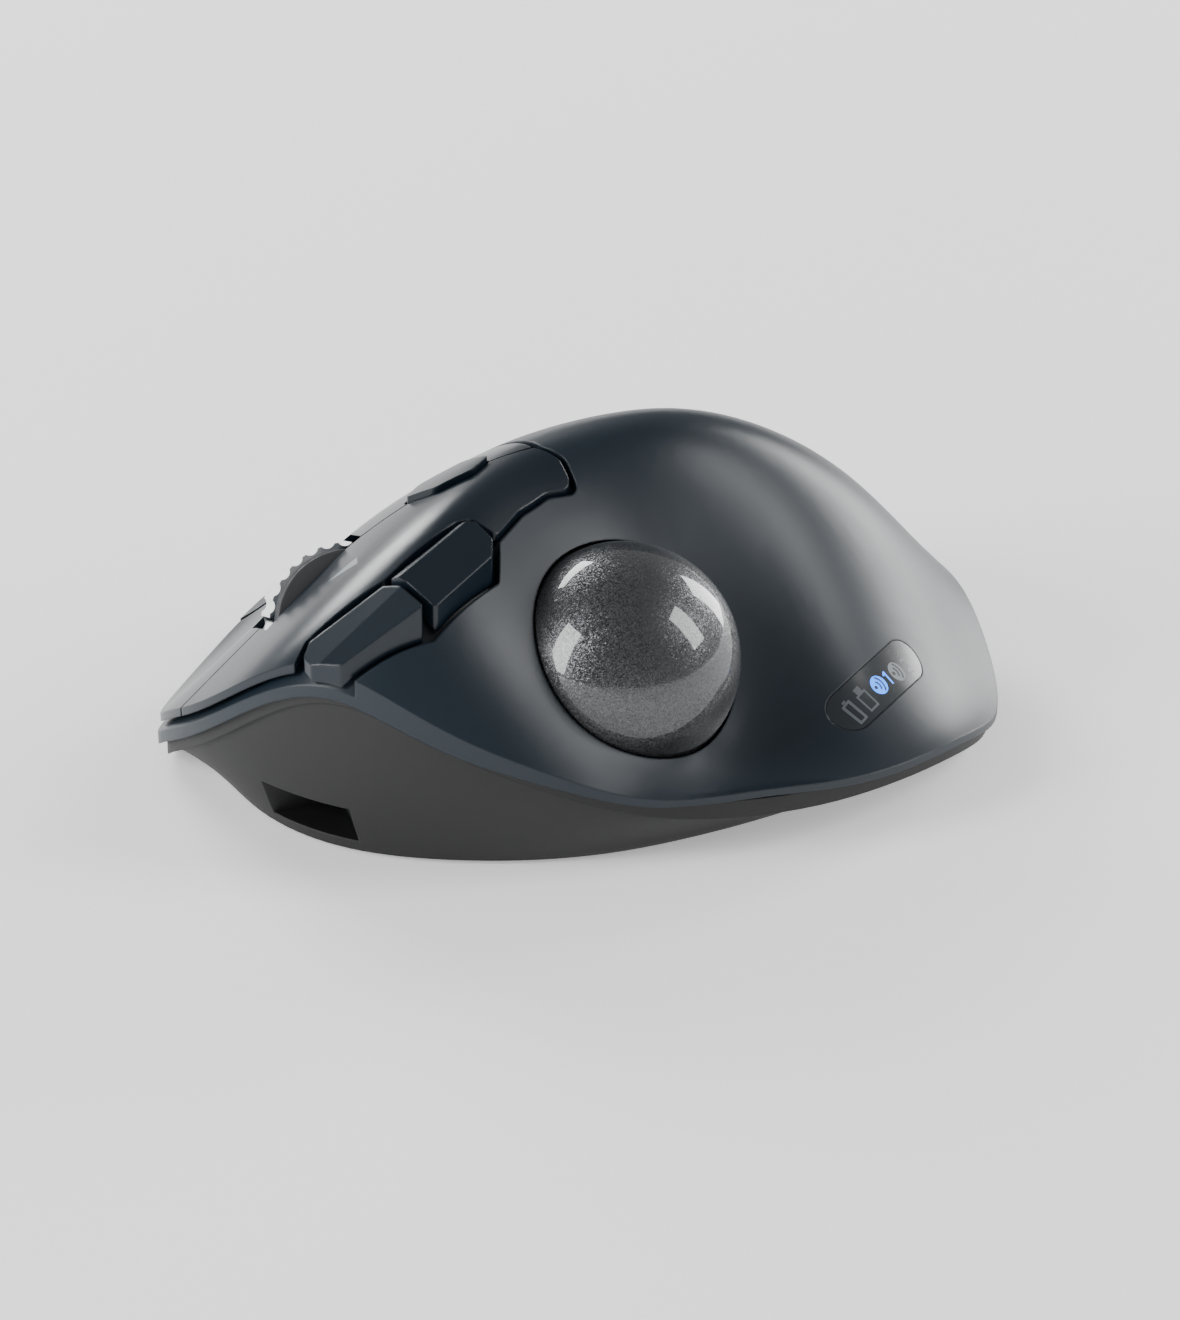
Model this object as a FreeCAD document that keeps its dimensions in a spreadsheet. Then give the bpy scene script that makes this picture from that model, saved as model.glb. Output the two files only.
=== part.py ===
import FreeCAD, Part
# Thumb-operated trackball mouse, right-handed, as a parametric assembly of separate pieces.
#
# Frame: +X is the user's right, +Y the finger end (front), +Z up.  The origin is on the desk,
# under the middle of the covers.  The thumb side, with the ball, is at -X.  Sizes are in mm.
import math
import os
import Sketcher
from FreeCAD import Placement, Rotation, Vector

doc = FreeCAD.newDocument("trackball_mouse")

# ---------------------------------------------------------------- driving dimensions
SIZES = (
    ("body_length", 127.2, "covers, front to back"),
    ("body_width", 94.0, "covers, thumb side to little-finger side"),
    ("body_height", 50.4, "top of the hump above the desk, feet included"),
    ("cover_wall", 2.4, "top cover, measured straight down"),
    ("rim_width", 3.0, "edge of the top cover that rests over the base's lip"),
    ("rim_drop", 1.2, "height of that edge along the back and sides"),
    ("base_wall", 2.0, "side walls of the base"),
    ("base_floor", 2.0, "floor of the base"),
    ("foot_rise", 0.6, "base's underside above the desk"),
    ("foot_radius", 5.0, "rubber feet"),
    ("foot_sink", 0.3, "depth of the feet in the base"),
    ("plate_wall", 1.4, "button plates, measured straight down"),
    ("plate_travel_gap", 1.2, "air under the button plates"),
    ("deck_wall", 1.5, "deck under the button plates"),
    ("seam", 0.4, "gap between a button and what surrounds it"),
    ("ball_diameter", 34.0, "ball"),
    ("ball_gap", 0.4, "air round the ball"),
    ("cup_wall", 1.8, "ball cup"),
    ("bearing_diameter", 3.0, "ceramic support balls"),
    ("bearing_clearance", 0.05, "running clearance under the ball"),
    ("wheel_diameter", 23.0, "scroll wheel over its ribbed ring"),
    ("wheel_width", 8.0, "scroll wheel over its side discs"),
    ("ring_width", 5.6, "ribbed ring"),
    ("ring_wall", 2.0, "ribbed ring, from its bore to its tips"),
    ("flute_depth", 0.55, "hollows round the ribbed ring"),
    ("flute_count", 28, "hollows round the ribbed ring"),
    ("wheel_air", 1.0, "air round the wheel in its slot"),
    ("axle_diameter", 2.4, "wheel axle"),
    ("running_fit", 0.05, "radial clearance of shafts and pins"),
    ("pin_diameter", 1.6, "hinge pins of the button plates"),
    ("board_wall", 1.6, "circuit boards"),
    ("screw_diameter", 2.2, "case screws"),
    ("screw_head", 4.4, "heads of the case screws"),
    ("port_width", 8.94, "charging receptacle"),
    ("port_height", 3.26, "charging receptacle"),
    ("port_depth", 7.3, "charging receptacle"),
    ("port_bay_width", 12.0, "recess in front of the charging receptacle"),
    ("port_bay_height", 5.4, "recess in front of the charging receptacle"),
    ("window_length", 22.0, "status window"),
    ("window_height", 6.6, "status window"),
    ("window_wall", 1.5, "status window"),
    ("battery_length", 34.0, "lithium cell"),
    ("battery_width", 32.0, "lithium cell"),
    ("battery_height", 7.6, "lithium cell"),
)

sheet = doc.addObject("Spreadsheet::Sheet", "Sizes")
for row, (alias, value, note) in enumerate(SIZES, start=1):
    sheet.set(f"A{row}", note)
    sheet.set(f"B{row}", str(value))
    sheet.setAlias(f"B{row}", alias)
doc.recompute()


def size(alias):
    """Value of a named size in the sheet."""
    return float(sheet.get(alias))


# The station tables below are drawn for this body; other bodies stretch them.
DRAWN_LENGTH = 127.2
DRAWN_WIDTH = 94.0
DRAWN_HEIGHT = 50.4
ACROSS = size("body_width") / DRAWN_WIDTH
ALONG = size("body_length") / DRAWN_LENGTH
UP = size("body_height") / DRAWN_HEIGHT

# ---------------------------------------------------------------- the moulded skin
# Each table gives a value at stations along the body: (station, value).
RIDGE_HEIGHT = ((-78, 1), (-62, 14), (-48, 29.5), (-30, 43.5), (-10, 49.5),
                (10, 48.5), (29, 44.8), (48, 33.6), (62, 19.4), (77, 4))
RIDGE_X = ((-78, 5), (-62, 4), (-48, 2), (-30, -1), (-10, -4),
           (10, -5.5), (29, -18.5), (48, -22), (62, -19), (77, -15))
THUMB_SLOPE = ((-78, 0.6), (-48, 0.95), (-30, 1.2), (-12, 1.7), (5, 1.1),
               (20, 0.87), (34, 0.8), (48, 0.53), (63, 0.35), (77, 0.3))
PALM_SLOPE = ((-78, 0.4), (-48, 0.42), (-20, 0.6), (10, 0.49),
              (29, 0.37), (48, 0.42), (63, 0.36), (77, 0.3))
DECK_FOLD = ((-78, 0), (-20, 0), (5, 0.05), (29, 0.43), (48, 0.62), (63, 0.5), (77, 0.3))
DECK_FOLD_X = ((-78, 10), (0, 8), (20, 6), (40, 4), (60, 3), (77, 3))
RIDGE_RADIUS = ((-78, 12), (-25, 8), (0, 6), (20, 6), (40, 6), (77, 6))
THUMB_LIP_X = ((-78, -39.5), (-48, -41.5), (-30, -45), (-8, -47), (5, -46.6),
               (19, -44), (34, -38.6), (48, -32), (63, -28), (77, -26))
THUMB_LIP_HEIGHT = ((-78, -2), (-62, 6), (-44, 9), (-25, 10.7), (-8, 11.7),
                    (5, 13), (19, 18.3), (34, 24.7), (48, 27), (63, 13.6), (77, 0))
PALM_LIP_X = ((-78, 44), (-48, 46), (-20, 50), (10, 50), (40, 48), (63, 44), (77, 42))
PALM_LIP_HEIGHT = ((-78, -2), (-62, 6), (-39, 8), (-10, 9), (20, 10), (44, 12), (63, 14), (77, 4))
FOLD_RADIUS = 5.0
THUMB_POWER = 3
PALM_POWER = 4

# Height of the top cover's edge, from its lip down to the parting line.
EDGE_DROP = ((-78, 0.0), (0, 0.0), (20, 1.0), (38, 2.8), (56, 3.4), (77, 3.4))

# Plan outline of the covers, clockwise from the nose.
OUTLINE = ((5, 63.6), (-8.5, 60.8), (-25, 50.8), (-37.7, 35), (-45.5, 13), (-47, -8.3),
           (-44, -31.5), (-35, -48.5), (-19.2, -60), (1, -63.6), (22.5, -58.8),
           (38, -44.2), (45.9, -18), (46.6, 9.2), (39.5, 35.5), (22.5, 55.5))

# How far the base's side walls stand inside the outline: at the parting line and on the floor.
HULL_TOP_INSET = ((-66, 11), (-40, 5.5), (-10, 2.6), (20, 1.9), (62, 1.9))
HULL_FLOOR_INSET = ((-66, 18), (-40, 14.5), (-12, 11), (10, 8), (35, 6), (58, 6.5), (66, 10))
HULL_TURN = 1.5
LIP_INSET = 1.3


def natural_spline(points):
    """Natural cubic spline through (station, value) pairs, as a function of the station."""
    xs = [float(p[0]) for p in points]
    ys = [float(p[1]) for p in points]
    last = len(xs) - 1
    gaps = [xs[i + 1] - xs[i] for i in range(last)]
    diagonal = [1.0] * (last + 1)
    upper = [0.0] * (last + 1)
    bends = [0.0] * (last + 1)
    for i in range(1, last):
        left = gaps[i - 1]
        right = gaps[i]
        rise = 6 * ((ys[i + 1] - ys[i]) / right - (ys[i] - ys[i - 1]) / left)
        pivot = 2 * (left + right) - left * upper[i - 1]
        diagonal[i] = pivot
        upper[i] = right / pivot
        bends[i] = (rise - left * bends[i - 1]) / pivot
    for i in range(last - 1, 0, -1):
        bends[i] -= upper[i] * bends[i + 1]

    def value(station):
        i = 0
        while i < last - 1 and station > xs[i + 1]:
            i += 1
        width = gaps[i]
        a = (xs[i + 1] - station) / width
        b = (station - xs[i]) / width
        curve = (a ** 3 - a) * bends[i] + (b ** 3 - b) * bends[i + 1]
        return a * ys[i] + b * ys[i + 1] + curve * width * width / 6

    return value


ridge_height = natural_spline(RIDGE_HEIGHT)
ridge_x = natural_spline(RIDGE_X)
thumb_slope = natural_spline(THUMB_SLOPE)
palm_slope = natural_spline(PALM_SLOPE)
deck_fold = natural_spline(DECK_FOLD)
deck_fold_x = natural_spline(DECK_FOLD_X)
ridge_radius = natural_spline(RIDGE_RADIUS)
thumb_lip_x = natural_spline(THUMB_LIP_X)
thumb_lip_height = natural_spline(THUMB_LIP_HEIGHT)
palm_lip_x = natural_spline(PALM_LIP_X)
palm_lip_height = natural_spline(PALM_LIP_HEIGHT)
edge_drop = natural_spline(EDGE_DROP)
hull_top_inset = natural_spline(HULL_TOP_INSET)
hull_floor_inset = natural_spline(HULL_FLOOR_INSET)


def roof(x, y):
    """Fall of the skin from its ridge: two slopes with a round crest, and the deck's fold."""
    off = x - ridge_x(y)
    mean = (palm_slope(y) + thumb_slope(y)) / 2
    skew = (palm_slope(y) - thumb_slope(y)) / 2
    crest = math.sqrt(off * off + ridge_radius(y) ** 2) - ridge_radius(y)
    beyond = x - deck_fold_x(y)
    fold = (math.sqrt(beyond * beyond + FOLD_RADIUS ** 2) + beyond) / 2
    return mean * crest + skew * off + deck_fold(y) * fold


def drawn_height(x, y):
    """Height of the outer skin for the body as drawn."""
    crest = ridge_height(y)
    off = x - ridge_x(y)
    height = crest - roof(x, y)
    if off < 0:
        spare = crest - thumb_lip_height(y) - roof(thumb_lip_x(y), y)
        height -= spare * (off / (thumb_lip_x(y) - ridge_x(y))) ** THUMB_POWER
    else:
        spare = crest - palm_lip_height(y) - roof(palm_lip_x(y), y)
        height -= spare * (off / (palm_lip_x(y) - ridge_x(y))) ** PALM_POWER
    return height


def skin_height(x, y):
    """Height of the outer skin above the desk."""
    return UP * drawn_height(x / ACROSS, y / ALONG)


def parting_drop(y):
    """Height of the top cover's edge at a station."""
    return size("rim_drop") + max(0.0, edge_drop(y / ALONG))


GRID_X = 29
GRID_Y = 35
GRID_HALF_X = 53.0 * ACROSS
GRID_HALF_Y = 70.0 * ALONG
DEEP = 90.0


def grid_face(height):
    """Smooth face through the heights on a grid that overlaps the outline all round."""
    rows = []
    for i in range(GRID_X):
        x = -GRID_HALF_X + 2 * GRID_HALF_X * i / (GRID_X - 1)
        row = []
        for j in range(GRID_Y):
            y = -GRID_HALF_Y + 2 * GRID_HALF_Y * j / (GRID_Y - 1)
            row.append(Vector(x, y, height(x, y)))
        rows.append(row)
    surface = Part.BSplineSurface()
    surface.interpolate(rows)
    return surface.toShape()


SKIN = grid_face(skin_height)
PARTING = grid_face(lambda x, y: skin_height(x, y) - parting_drop(y))


def under(offset, face=SKIN):
    """Everything lower than the face moved straight down by the offset."""
    lowered = face.copy()
    lowered.translate(Vector(0, 0, -offset))
    return lowered.extrude(Vector(0, 0, -DEEP))


def sheet_between(top, bottom, face=SKIN):
    """Solid between two copies of the face, moved down by top and by bottom."""
    lowered = face.copy()
    lowered.translate(Vector(0, 0, -top))
    return lowered.extrude(Vector(0, 0, top - bottom))


def spot(x, y, above=0.0):
    """Point on the skin over a drawn plan position, raised by a height."""
    return Vector(x * ACROSS, y * ALONG, skin_height(x * ACROSS, y * ALONG) + above)


# ---------------------------------------------------------------- plan outlines
OUTLINE_CURVE = Part.BSplineCurve()
OUTLINE_CURVE.interpolate(Points=[Vector(x * ACROSS, y * ALONG, 0) for x, y in OUTLINE],
                          PeriodicFlag=True)
OUTLINE_STEPS = 48
FLOOR_Z = -5.0
CEILING_Z = 75.0 * UP


def outline_wire(inset, z=FLOOR_Z):
    """Closed smooth wire, inside the outline by a distance that may vary round it."""
    first = OUTLINE_CURVE.FirstParameter
    span = OUTLINE_CURVE.LastParameter - first
    points = []
    for i in range(OUTLINE_STEPS):
        at = first + span * i / OUTLINE_STEPS
        here = OUTLINE_CURVE.value(at)
        along = OUTLINE_CURVE.tangent(at)[0]
        inward = Vector(-along.y, along.x, 0)
        points.append(here + inward * inset(here) + Vector(0, 0, z))
    curve = Part.BSplineCurve()
    curve.interpolate(Points=points, PeriodicFlag=True)
    return Part.Wire(curve.toShape())


def prism(wire, low=FLOOR_Z, high=CEILING_Z):
    """Upright solid on a flat closed wire, between two heights."""
    face = Part.Face(wire)
    face.translate(Vector(0, 0, low - wire.BoundBox.ZMin))
    return face.extrude(Vector(0, 0, high - low))


def rounded_wire(corners):
    """Closed wire of straight runs with round corners, from (x, y, radius)."""
    count = len(corners)
    starts = []
    ends = []
    middles = []
    for i in range(count):
        x, y, radius = corners[i]
        corner = Vector(x, y, 0)
        before = Vector(corners[i - 1][0], corners[i - 1][1], 0) - corner
        after = Vector(corners[(i + 1) % count][0], corners[(i + 1) % count][1], 0) - corner
        before.normalize()
        after.normalize()
        half = before.getAngle(after) / 2
        reach = radius / math.tan(half)
        inward = (before + after).normalize()
        starts.append(corner + before * reach)
        ends.append(corner + after * reach)
        middles.append(corner + inward * (radius / math.sin(half) - radius))
    edges = []
    for i in range(count):
        edges.append(Part.Arc(starts[i], middles[i], ends[i]).toShape())
        gap = starts[(i + 1) % count] - ends[i]
        if gap.Length > 1e-6:
            edges.append(Part.makeLine(ends[i], starts[(i + 1) % count]))
    return Part.Wire(edges)


def plan(corners, grow=0.0):
    """Rounded wire from drawn plan corners, stretched with the body and grown outward."""
    wire = rounded_wire([(x * ACROSS, y * ALONG, radius) for x, y, radius in corners])
    if grow == 0.0:
        return wire
    return wire.makeOffset2D(grow)


# ---------------------------------------------------------------- document helpers
PIECES = []


def keep(obj, label):
    """Gives an object the name of its piece."""
    obj.Label = label
    PIECES.append(obj)
    return obj


def moulding(label, shape, placement=None):
    """Piece whose shape is made by Part's own functions."""
    obj = doc.addObject("Part::Feature", label)
    obj.Shape = shape.removeSplitter() if shape.ShapeType != "Compound" else shape
    if placement is not None:
        obj.Placement = placement
    return keep(obj, label)


def primitive(kind, name, sizes, placement=None):
    """Part primitive with its sizes bound to the sheet."""
    obj = doc.addObject(kind, name)
    for prop, formula in sizes.items():
        obj.setExpression(prop, formula)
    if placement is not None:
        obj.Placement = placement
    return obj


def box(name, length, width, height, corner):
    """Box primitive from its lowest corner; sizes are sheet formulas."""
    return primitive("Part::Box", name, {"Length": length, "Width": width, "Height": height},
                     Placement(corner, Rotation()))


def cylinder(name, radius, height, base, axis=Vector(0, 0, 1)):
    """Cylinder primitive from the middle of its base; sizes are sheet formulas."""
    return primitive("Part::Cylinder", name, {"Radius": radius, "Height": height},
                     Placement(base, Rotation(Vector(0, 0, 1), axis)))


def joined(name, parts):
    obj = doc.addObject("Part::MultiFuse", name)
    obj.Shapes = parts
    return obj


def grouped(name, parts):
    obj = doc.addObject("Part::Compound", name)
    obj.Links = parts
    return obj


def less(name, base, tool):
    obj = doc.addObject("Part::Cut", name)
    obj.Base = base
    obj.Tool = tool
    return obj


def rounded_edges(name, base, radius, pick):
    """Fillet of the edges that the test picks."""
    doc.recompute()
    obj = doc.addObject("Part::Fillet", name)
    obj.Base = base
    obj.Edges = [(i + 1, radius, radius) for i, edge in enumerate(base.Shape.Edges) if pick(edge)]
    return obj


def new_body(label, placement=None):
    body = doc.addObject("PartDesign::Body", label)
    if placement is not None:
        body.Placement = placement
    return keep(body, label)


def new_sketch(body, role, name, height=None):
    """Sketch on one of the body's own origin planes, raised by a sheet formula."""
    sketch = body.newObject("Sketcher::SketchObject", name)
    plane = [f for f in body.Origin.OriginFeatures if f.Role == role][0]
    sketch.AttachmentSupport = [(plane, "")]
    sketch.MapMode = "FlatFace"
    if height is not None:
        sketch.setExpression("AttachmentOffset.Base.z", height)
    return sketch


def draw_circle(sketch, radius, x=None, y=None):
    """Circle with a bound radius, centred or at bound distances from the origin."""
    index = sketch.addGeometry(Part.Circle(Vector(1, 1, 0), Vector(0, 0, 1), 1.0), False)
    row = sketch.addConstraint(Sketcher.Constraint("Radius", index, 1.0))
    sketch.setExpression(f"Constraints[{row}]", radius)
    if x is None:
        sketch.addConstraint(Sketcher.Constraint("Coincident", index, 3, -1, 1))
        return
    row = sketch.addConstraint(Sketcher.Constraint("DistanceX", -1, 1, index, 3, 1.0))
    sketch.setExpression(f"Constraints[{row}]", x)
    row = sketch.addConstraint(Sketcher.Constraint("DistanceY", -1, 1, index, 3, 1.0))
    sketch.setExpression(f"Constraints[{row}]", y)


def draw_rectangle(sketch, width, height, x="0", y="0"):
    """Rectangle with bound sides, its middle at a bound place."""
    corners = [Vector(-1, -1, 0), Vector(1, -1, 0), Vector(1, 1, 0), Vector(-1, 1, 0)]
    first = sketch.GeometryCount
    for i in range(4):
        sketch.addGeometry(Part.LineSegment(corners[i], corners[(i + 1) % 4]), False)
    for i in range(4):
        sketch.addConstraint(Sketcher.Constraint("Coincident", first + i, 2, first + (i + 1) % 4, 1))
    for i in range(4):
        way = "Horizontal" if i % 2 == 0 else "Vertical"
        sketch.addConstraint(Sketcher.Constraint(way, first + i))
    bound = (("DistanceX", first, 1, first, 2, width),
             ("DistanceY", first + 1, 1, first + 1, 2, height))
    for kind, a, a_end, b, b_end, formula in bound:
        row = sketch.addConstraint(Sketcher.Constraint(kind, a, a_end, b, b_end, 2.0))
        sketch.setExpression(f"Constraints[{row}]", formula)
    row = sketch.addConstraint(Sketcher.Constraint("DistanceX", -1, 1, first, 1, -1.0))
    sketch.setExpression(f"Constraints[{row}]", f"{x} - ({width}) / 2")
    row = sketch.addConstraint(Sketcher.Constraint("DistanceY", -1, 1, first, 1, -1.0))
    sketch.setExpression(f"Constraints[{row}]", f"{y} - ({height}) / 2")


def pad(body, sketch, name, length, both_ways=False, backward=False):
    feature = body.newObject("PartDesign::Pad", name)
    feature.Profile = sketch
    feature.setExpression("Length", length)
    feature.Midplane = both_ways
    feature.Reversed = backward
    sketch.Visibility = False
    return feature


def pocket(body, sketch, name, length, both_ways=False, backward=False):
    """Pocket that must take material away."""
    doc.recompute()
    before = body.Shape.Volume
    feature = body.newObject("PartDesign::Pocket", name)
    feature.Profile = sketch
    feature.setExpression("Length", length)
    feature.Midplane = both_ways
    feature.Reversed = backward
    doc.recompute()
    if body.Shape.Volume > before - 1e-3:
        raise RuntimeError(f"{name} cut nothing")
    return feature

# ---------------------------------------------------------------- places shared by the pieces
PLATE = size("plate_wall")
DECK_TOP = PLATE + size("plate_travel_gap")
DECK_BOTTOM = DECK_TOP + size("deck_wall")
SEAM = size("seam")
FLOOR_TOP = size("foot_rise") + size("base_floor")

BALL_RADIUS = size("ball_diameter") / 2
CUP_INNER = BALL_RADIUS + size("ball_gap")
CUP_OUTER = CUP_INNER + size("cup_wall")
BALL_CENTRE = Vector(-25.3 * ACROSS, 2.0 * ALONG, 24.3 * UP)
SOCKET_AXIS = Vector(-0.55, -0.36, 0.753).normalize()

WHEEL_RADIUS = size("wheel_diameter") / 2
WHEEL_CENTRE = Vector(-2.5 * ACROSS, 37.4 * ALONG, 25.2 * UP)
WHEEL_LEAN = 22.0
DECK_PITCH = 33.0
DECK_TURN = Rotation(Vector(0, 1, 0), WHEEL_LEAN).multiply(Rotation(Vector(1, 0, 0), -DECK_PITCH))
DECK_FRAME = Placement(WHEEL_CENTRE, DECK_TURN)
DECK_NORMAL = DECK_TURN.multVec(Vector(0, 0, 1))
AXLE_DIRECTION = DECK_TURN.multVec(Vector(-1, 0, 0))
WHEEL_FRAME = Placement(WHEEL_CENTRE, DECK_TURN.multiply(Rotation(Vector(0, 1, 0), -90)))

SEAM_X = -2.8            # seam between the two button plates
WINDOW_SPOT = (-30.3, -36.0)

# Plan corners (x, y, corner radius) of the two plates, up to the middle of each seam.
LEFT_PLATE = ((SEAM_X, 70, 0.5), (SEAM_X, 8.2, 0.5), (-6.3, 5.2, 2.0), (-10.2, 4.4, 1.6),
              (-11.2, 9.0, 3.0), (-14.2, 13.9, 5.0), (-18.6, 18.6, 1.0), (-16.7, 21.8, 1.0),
              (-17.1, 24.0, 1.5), (-23.2, 36.2, 3.0), (-23.3, 48.0, 1.0), (-25.4, 50.6, 1.0),
              (-30.0, 56.0, 1.0), (-30.0, 70, 1.0))
RIGHT_PLATE = ((SEAM_X, 70, 0.5), (40.0, 70, 1.0), (40.0, 54.0, 1.0), (33.0, 47.0, 4.0),
               (31.5, 30.0, 12.0), (27.0, 16.5, 4.0), (14.0, 12.0, 8.0), (SEAM_X, 8.2, 0.5))
MODE_BUTTON = ((-2.0, 27.6, 0.8), (-6.2, 24.2, 2.0), (-6.2, 18.4, 2.0), (-2.6, 14.8, 0.8),
               (1.6, 17.6, 2.0), (1.6, 24.6, 2.0))
FRONT_BUTTON = ((-23.9, 47.9, 0.5), (-25.9, 49.4, 1.0), (-28.0, 48.8, 1.0), (-31.2, 45.2, 1.0),
                (-31.2, 32.8, 0.5), (-25.9, 34.9, 0.5), (-23.9, 36.9, 0.5))
BACK_BUTTON = ((-24.0, 36.2, 0.4), (-25.9, 34.2, 0.4), (-30.6, 31.3, 0.8), (-24.2, 20.9, 1.5),
               (-21.4, 19.9, 1.0), (-18.2, 21.6, 0.8), (-17.6, 24.2, 1.0))
# The hollow in the cover that takes all the buttons.
HOLLOW = ((-31.9, 31.8, 1.0), (-24.6, 20.2, 1.5), (-21.0, 19.0, 1.0), (-19.2, 18.5, 1.0),
          (-14.7, 13.6, 5.0), (-11.7, 8.8, 3.0), (-10.8, 3.7, 1.6), (-6.2, 4.5, 2.5),
          (SEAM_X, 7.3, 1.0), (14.2, 11.2, 8.0), (27.5, 15.8, 5.0), (32.2, 30.0, 12.0),
          (33.7, 46.6, 4.0), (41.0, 53.6, 1.0), (41.0, 72, 1.0), (-32.0, 72, 1.0),
          (-32.0, 54.6, 1.0), (-27.0, 50.2, 1.0), (-28.6, 49.4, 1.0), (-32.0, 45.7, 1.5))
DECK_REACH = 1.6         # how far the deck runs on outside the hollow


def rim_inset(point):
    return size("rim_width")


def lip_inset(point):
    return LIP_INSET


def plate_inset(point):
    return 0.5


# ---------------------------------------------------------------- base: hull and lip
HULL_LEVELS = (0.0, 2.5, 5.5, 9.5, 14.5, 20.5, 28.0, 36.0, 44.0, 52.0)


def hull(wall, low):
    """Boat-shaped solid: the base's sides, turned under towards the floor."""
    wires = []
    for level in HULL_LEVELS:
        z = low + level * UP

        def inset(point, z=z):
            parting = max(3.0, skin_height(point.x, point.y) - parting_drop(point.y))
            top = hull_top_inset(point.y / ALONG)
            foot = hull_floor_inset(point.y / ALONG)
            below = max(0.0, 1.0 - z / parting)
            return wall + top + (foot - top) * below ** HULL_TURN

        wires.append(outline_wire(inset, z))
    return Part.makeLoft(wires, True, False)


print("hull")
OUTER_HULL = hull(0.0, size("foot_rise"))
INNER_HULL = hull(size("base_wall"), FLOOR_TOP)
LIP_DEPTH = 3.0
COVER_PRISM = prism(outline_wire(lambda point: 0.0))
RIM_PRISM = prism(outline_wire(rim_inset))
LIP_PRISM = prism(outline_wire(lip_inset), size("foot_rise"))
SHELL_GAP = 0.15
SEAT_GAP = 0.2
RIM_STEP = size("cover_wall") - size("rim_drop") + 0.4


def base_shell():
    """Lower shell: sides and floor, with a recessed band and a step under the cover's edge."""
    body = LIP_PRISM.common(under(SEAT_GAP, PARTING))
    body = body.cut(under(LIP_DEPTH, PARTING).cut(OUTER_HULL))
    body = body.cut(INNER_HULL.common(under(-1.0)))
    inside = prism(outline_wire(lambda point: size("rim_width") - SHELL_GAP))
    return body.cut(inside.cut(under(RIM_STEP, PARTING)))


def cover_shell():
    body = COVER_PRISM.common(under(0.0))
    deck = prism(plan(HOLLOW, DECK_REACH)).cut(under(DECK_BOTTOM))
    cavity = RIM_PRISM.common(under(size("cover_wall"))).cut(deck)
    body = body.cut(cavity)
    body = body.cut(under(0.0, PARTING).cut(RIM_PRISM))
    return body.cut(prism(plan(HOLLOW)).cut(under(DECK_TOP)))


def block(x_low, x_high, y_low, y_high, z_low, z_high):
    """Plain block between two corners."""
    return Part.makeBox(x_high - x_low, y_high - y_low, z_high - z_low, Vector(x_low, y_low, z_low))


def rod(start, direction, radius, length):
    return Part.makeCylinder(radius, length, start, direction)


def moved(shape, frame):
    """Copy of a shape drawn in a local frame, in the mouse's own frame."""
    copy = shape.copy()
    copy.Placement = frame.multiply(copy.Placement)
    return copy


def above_plane(first, second, third):
    """Large block over the plane through three points."""
    normal = (second - first).cross(third - first).normalize()
    if normal.z < 0:
        normal = normal.negative()
    slab = Part.makeBox(90, 90, 40, Vector(-45, -45, 0))
    slab.Placement = Placement(first, Rotation(Vector(0, 0, 1), normal))
    return slab


# ---------------------------------------------------------------- local frames and seats
UPRIGHT = Vector(0, 0, 1)

# Side buttons press along the leaning axis of their own frame; its floor is the board's face.
SIDE_LEAN = -17.5
SIDE_TURN = Rotation(Vector(0, 1, 0), SIDE_LEAN)
SIDE_AXIS = SIDE_TURN.multVec(UPRIGHT)
SIDE_DEPTH = 8.6
FRONT_SPOT = spot(-25.6, 37.8)
SIDE_FRAME = Placement(FRONT_SPOT - SIDE_AXIS * SIDE_DEPTH, SIDE_TURN)
FRONT_STEM = SIDE_FRAME.inverse().multVec(FRONT_SPOT)
BACK_STEM = SIDE_FRAME.inverse().multVec(spot(-22.8, 27.6))
STEM_RADIUS = 1.3
STEM_AIR = 0.3
PLUNGER_AIR = 0.7
SIDE_POSTS = (Vector(3.4, -5.1, 0), Vector(-1.6, -10.5, 0))
SIDE_POST_RADIUS = 1.6
TACT_SIDE = 6.0
TACT_BODY = 2.7
TACT_TOP = 3.3
TACT_DOT = 1.6
SIDE_TRAVEL = 0.5
STEM_GAP = SIDE_TRAVEL + 0.25

# Circuit board under the deck, in the deck's frame.
BOARD_TOP = -5.2
BOARD_LEFT = -15.0
BOARD_RIGHT = 15.4
BOARD_REAR = -26.6
BOARD_FRONT = 15.2
BOARD_WALL = size("board_wall")
BOARD_SCREWS = ((-13.0, 13.0), (12.0, 13.0), (-13.0, -20.0), (11.5, -18.0))
SWITCH_LENGTH = 12.8
SWITCH_WIDTH = 5.8
SWITCH_BODY = 6.5
SWITCH_TOP = 7.2
LEFT_SWITCH = (-12.0, -5.0)
RIGHT_SWITCH = (12.0, 3.0)
PLATE_STROKE_GAP = 0.75
PLUNGER_RADIUS = 1.4

MODE_STEM = spot(-2.3, 21.2)
MODE_SWITCH = DECK_FRAME.inverse().multVec(MODE_STEM)
MODE_TRAVEL = 0.5
MODE_RAISE = 1.0

# Button plates turn about pins along X, under their rear edges.
HINGE_DROP = DECK_BOTTOM + 0.3
HINGE_BARREL = 1.35
HINGE_LENGTH = 3.2
HINGE_EAR = 1.3
HINGE_SIDE_GAP = 0.3
PIN_HALF = HINGE_LENGTH / 2 + HINGE_SIDE_GAP + HINGE_EAR
LEFT_HINGE = (-6.2, 9.0)
RIGHT_HINGE = (4.2, 12.6)

# Case screws come up through the base into bosses of the top cover.
CASE_SCREWS = ((-30.0, -21.5), (24.5, -32.0), (33.5, 18.0), (-31.2, 23.6))
BOSS_JOINT = 7.0
BOSS_RADIUS = 3.0
HEAD_SEAT = 3.2
HEAD_HEIGHT = 1.6
SHANK_TOP = 13.0

FEET = ((-18.0, 35.0), (20.0, 37.0), (-17.0, -35.0), (15.0, -40.0))

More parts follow.
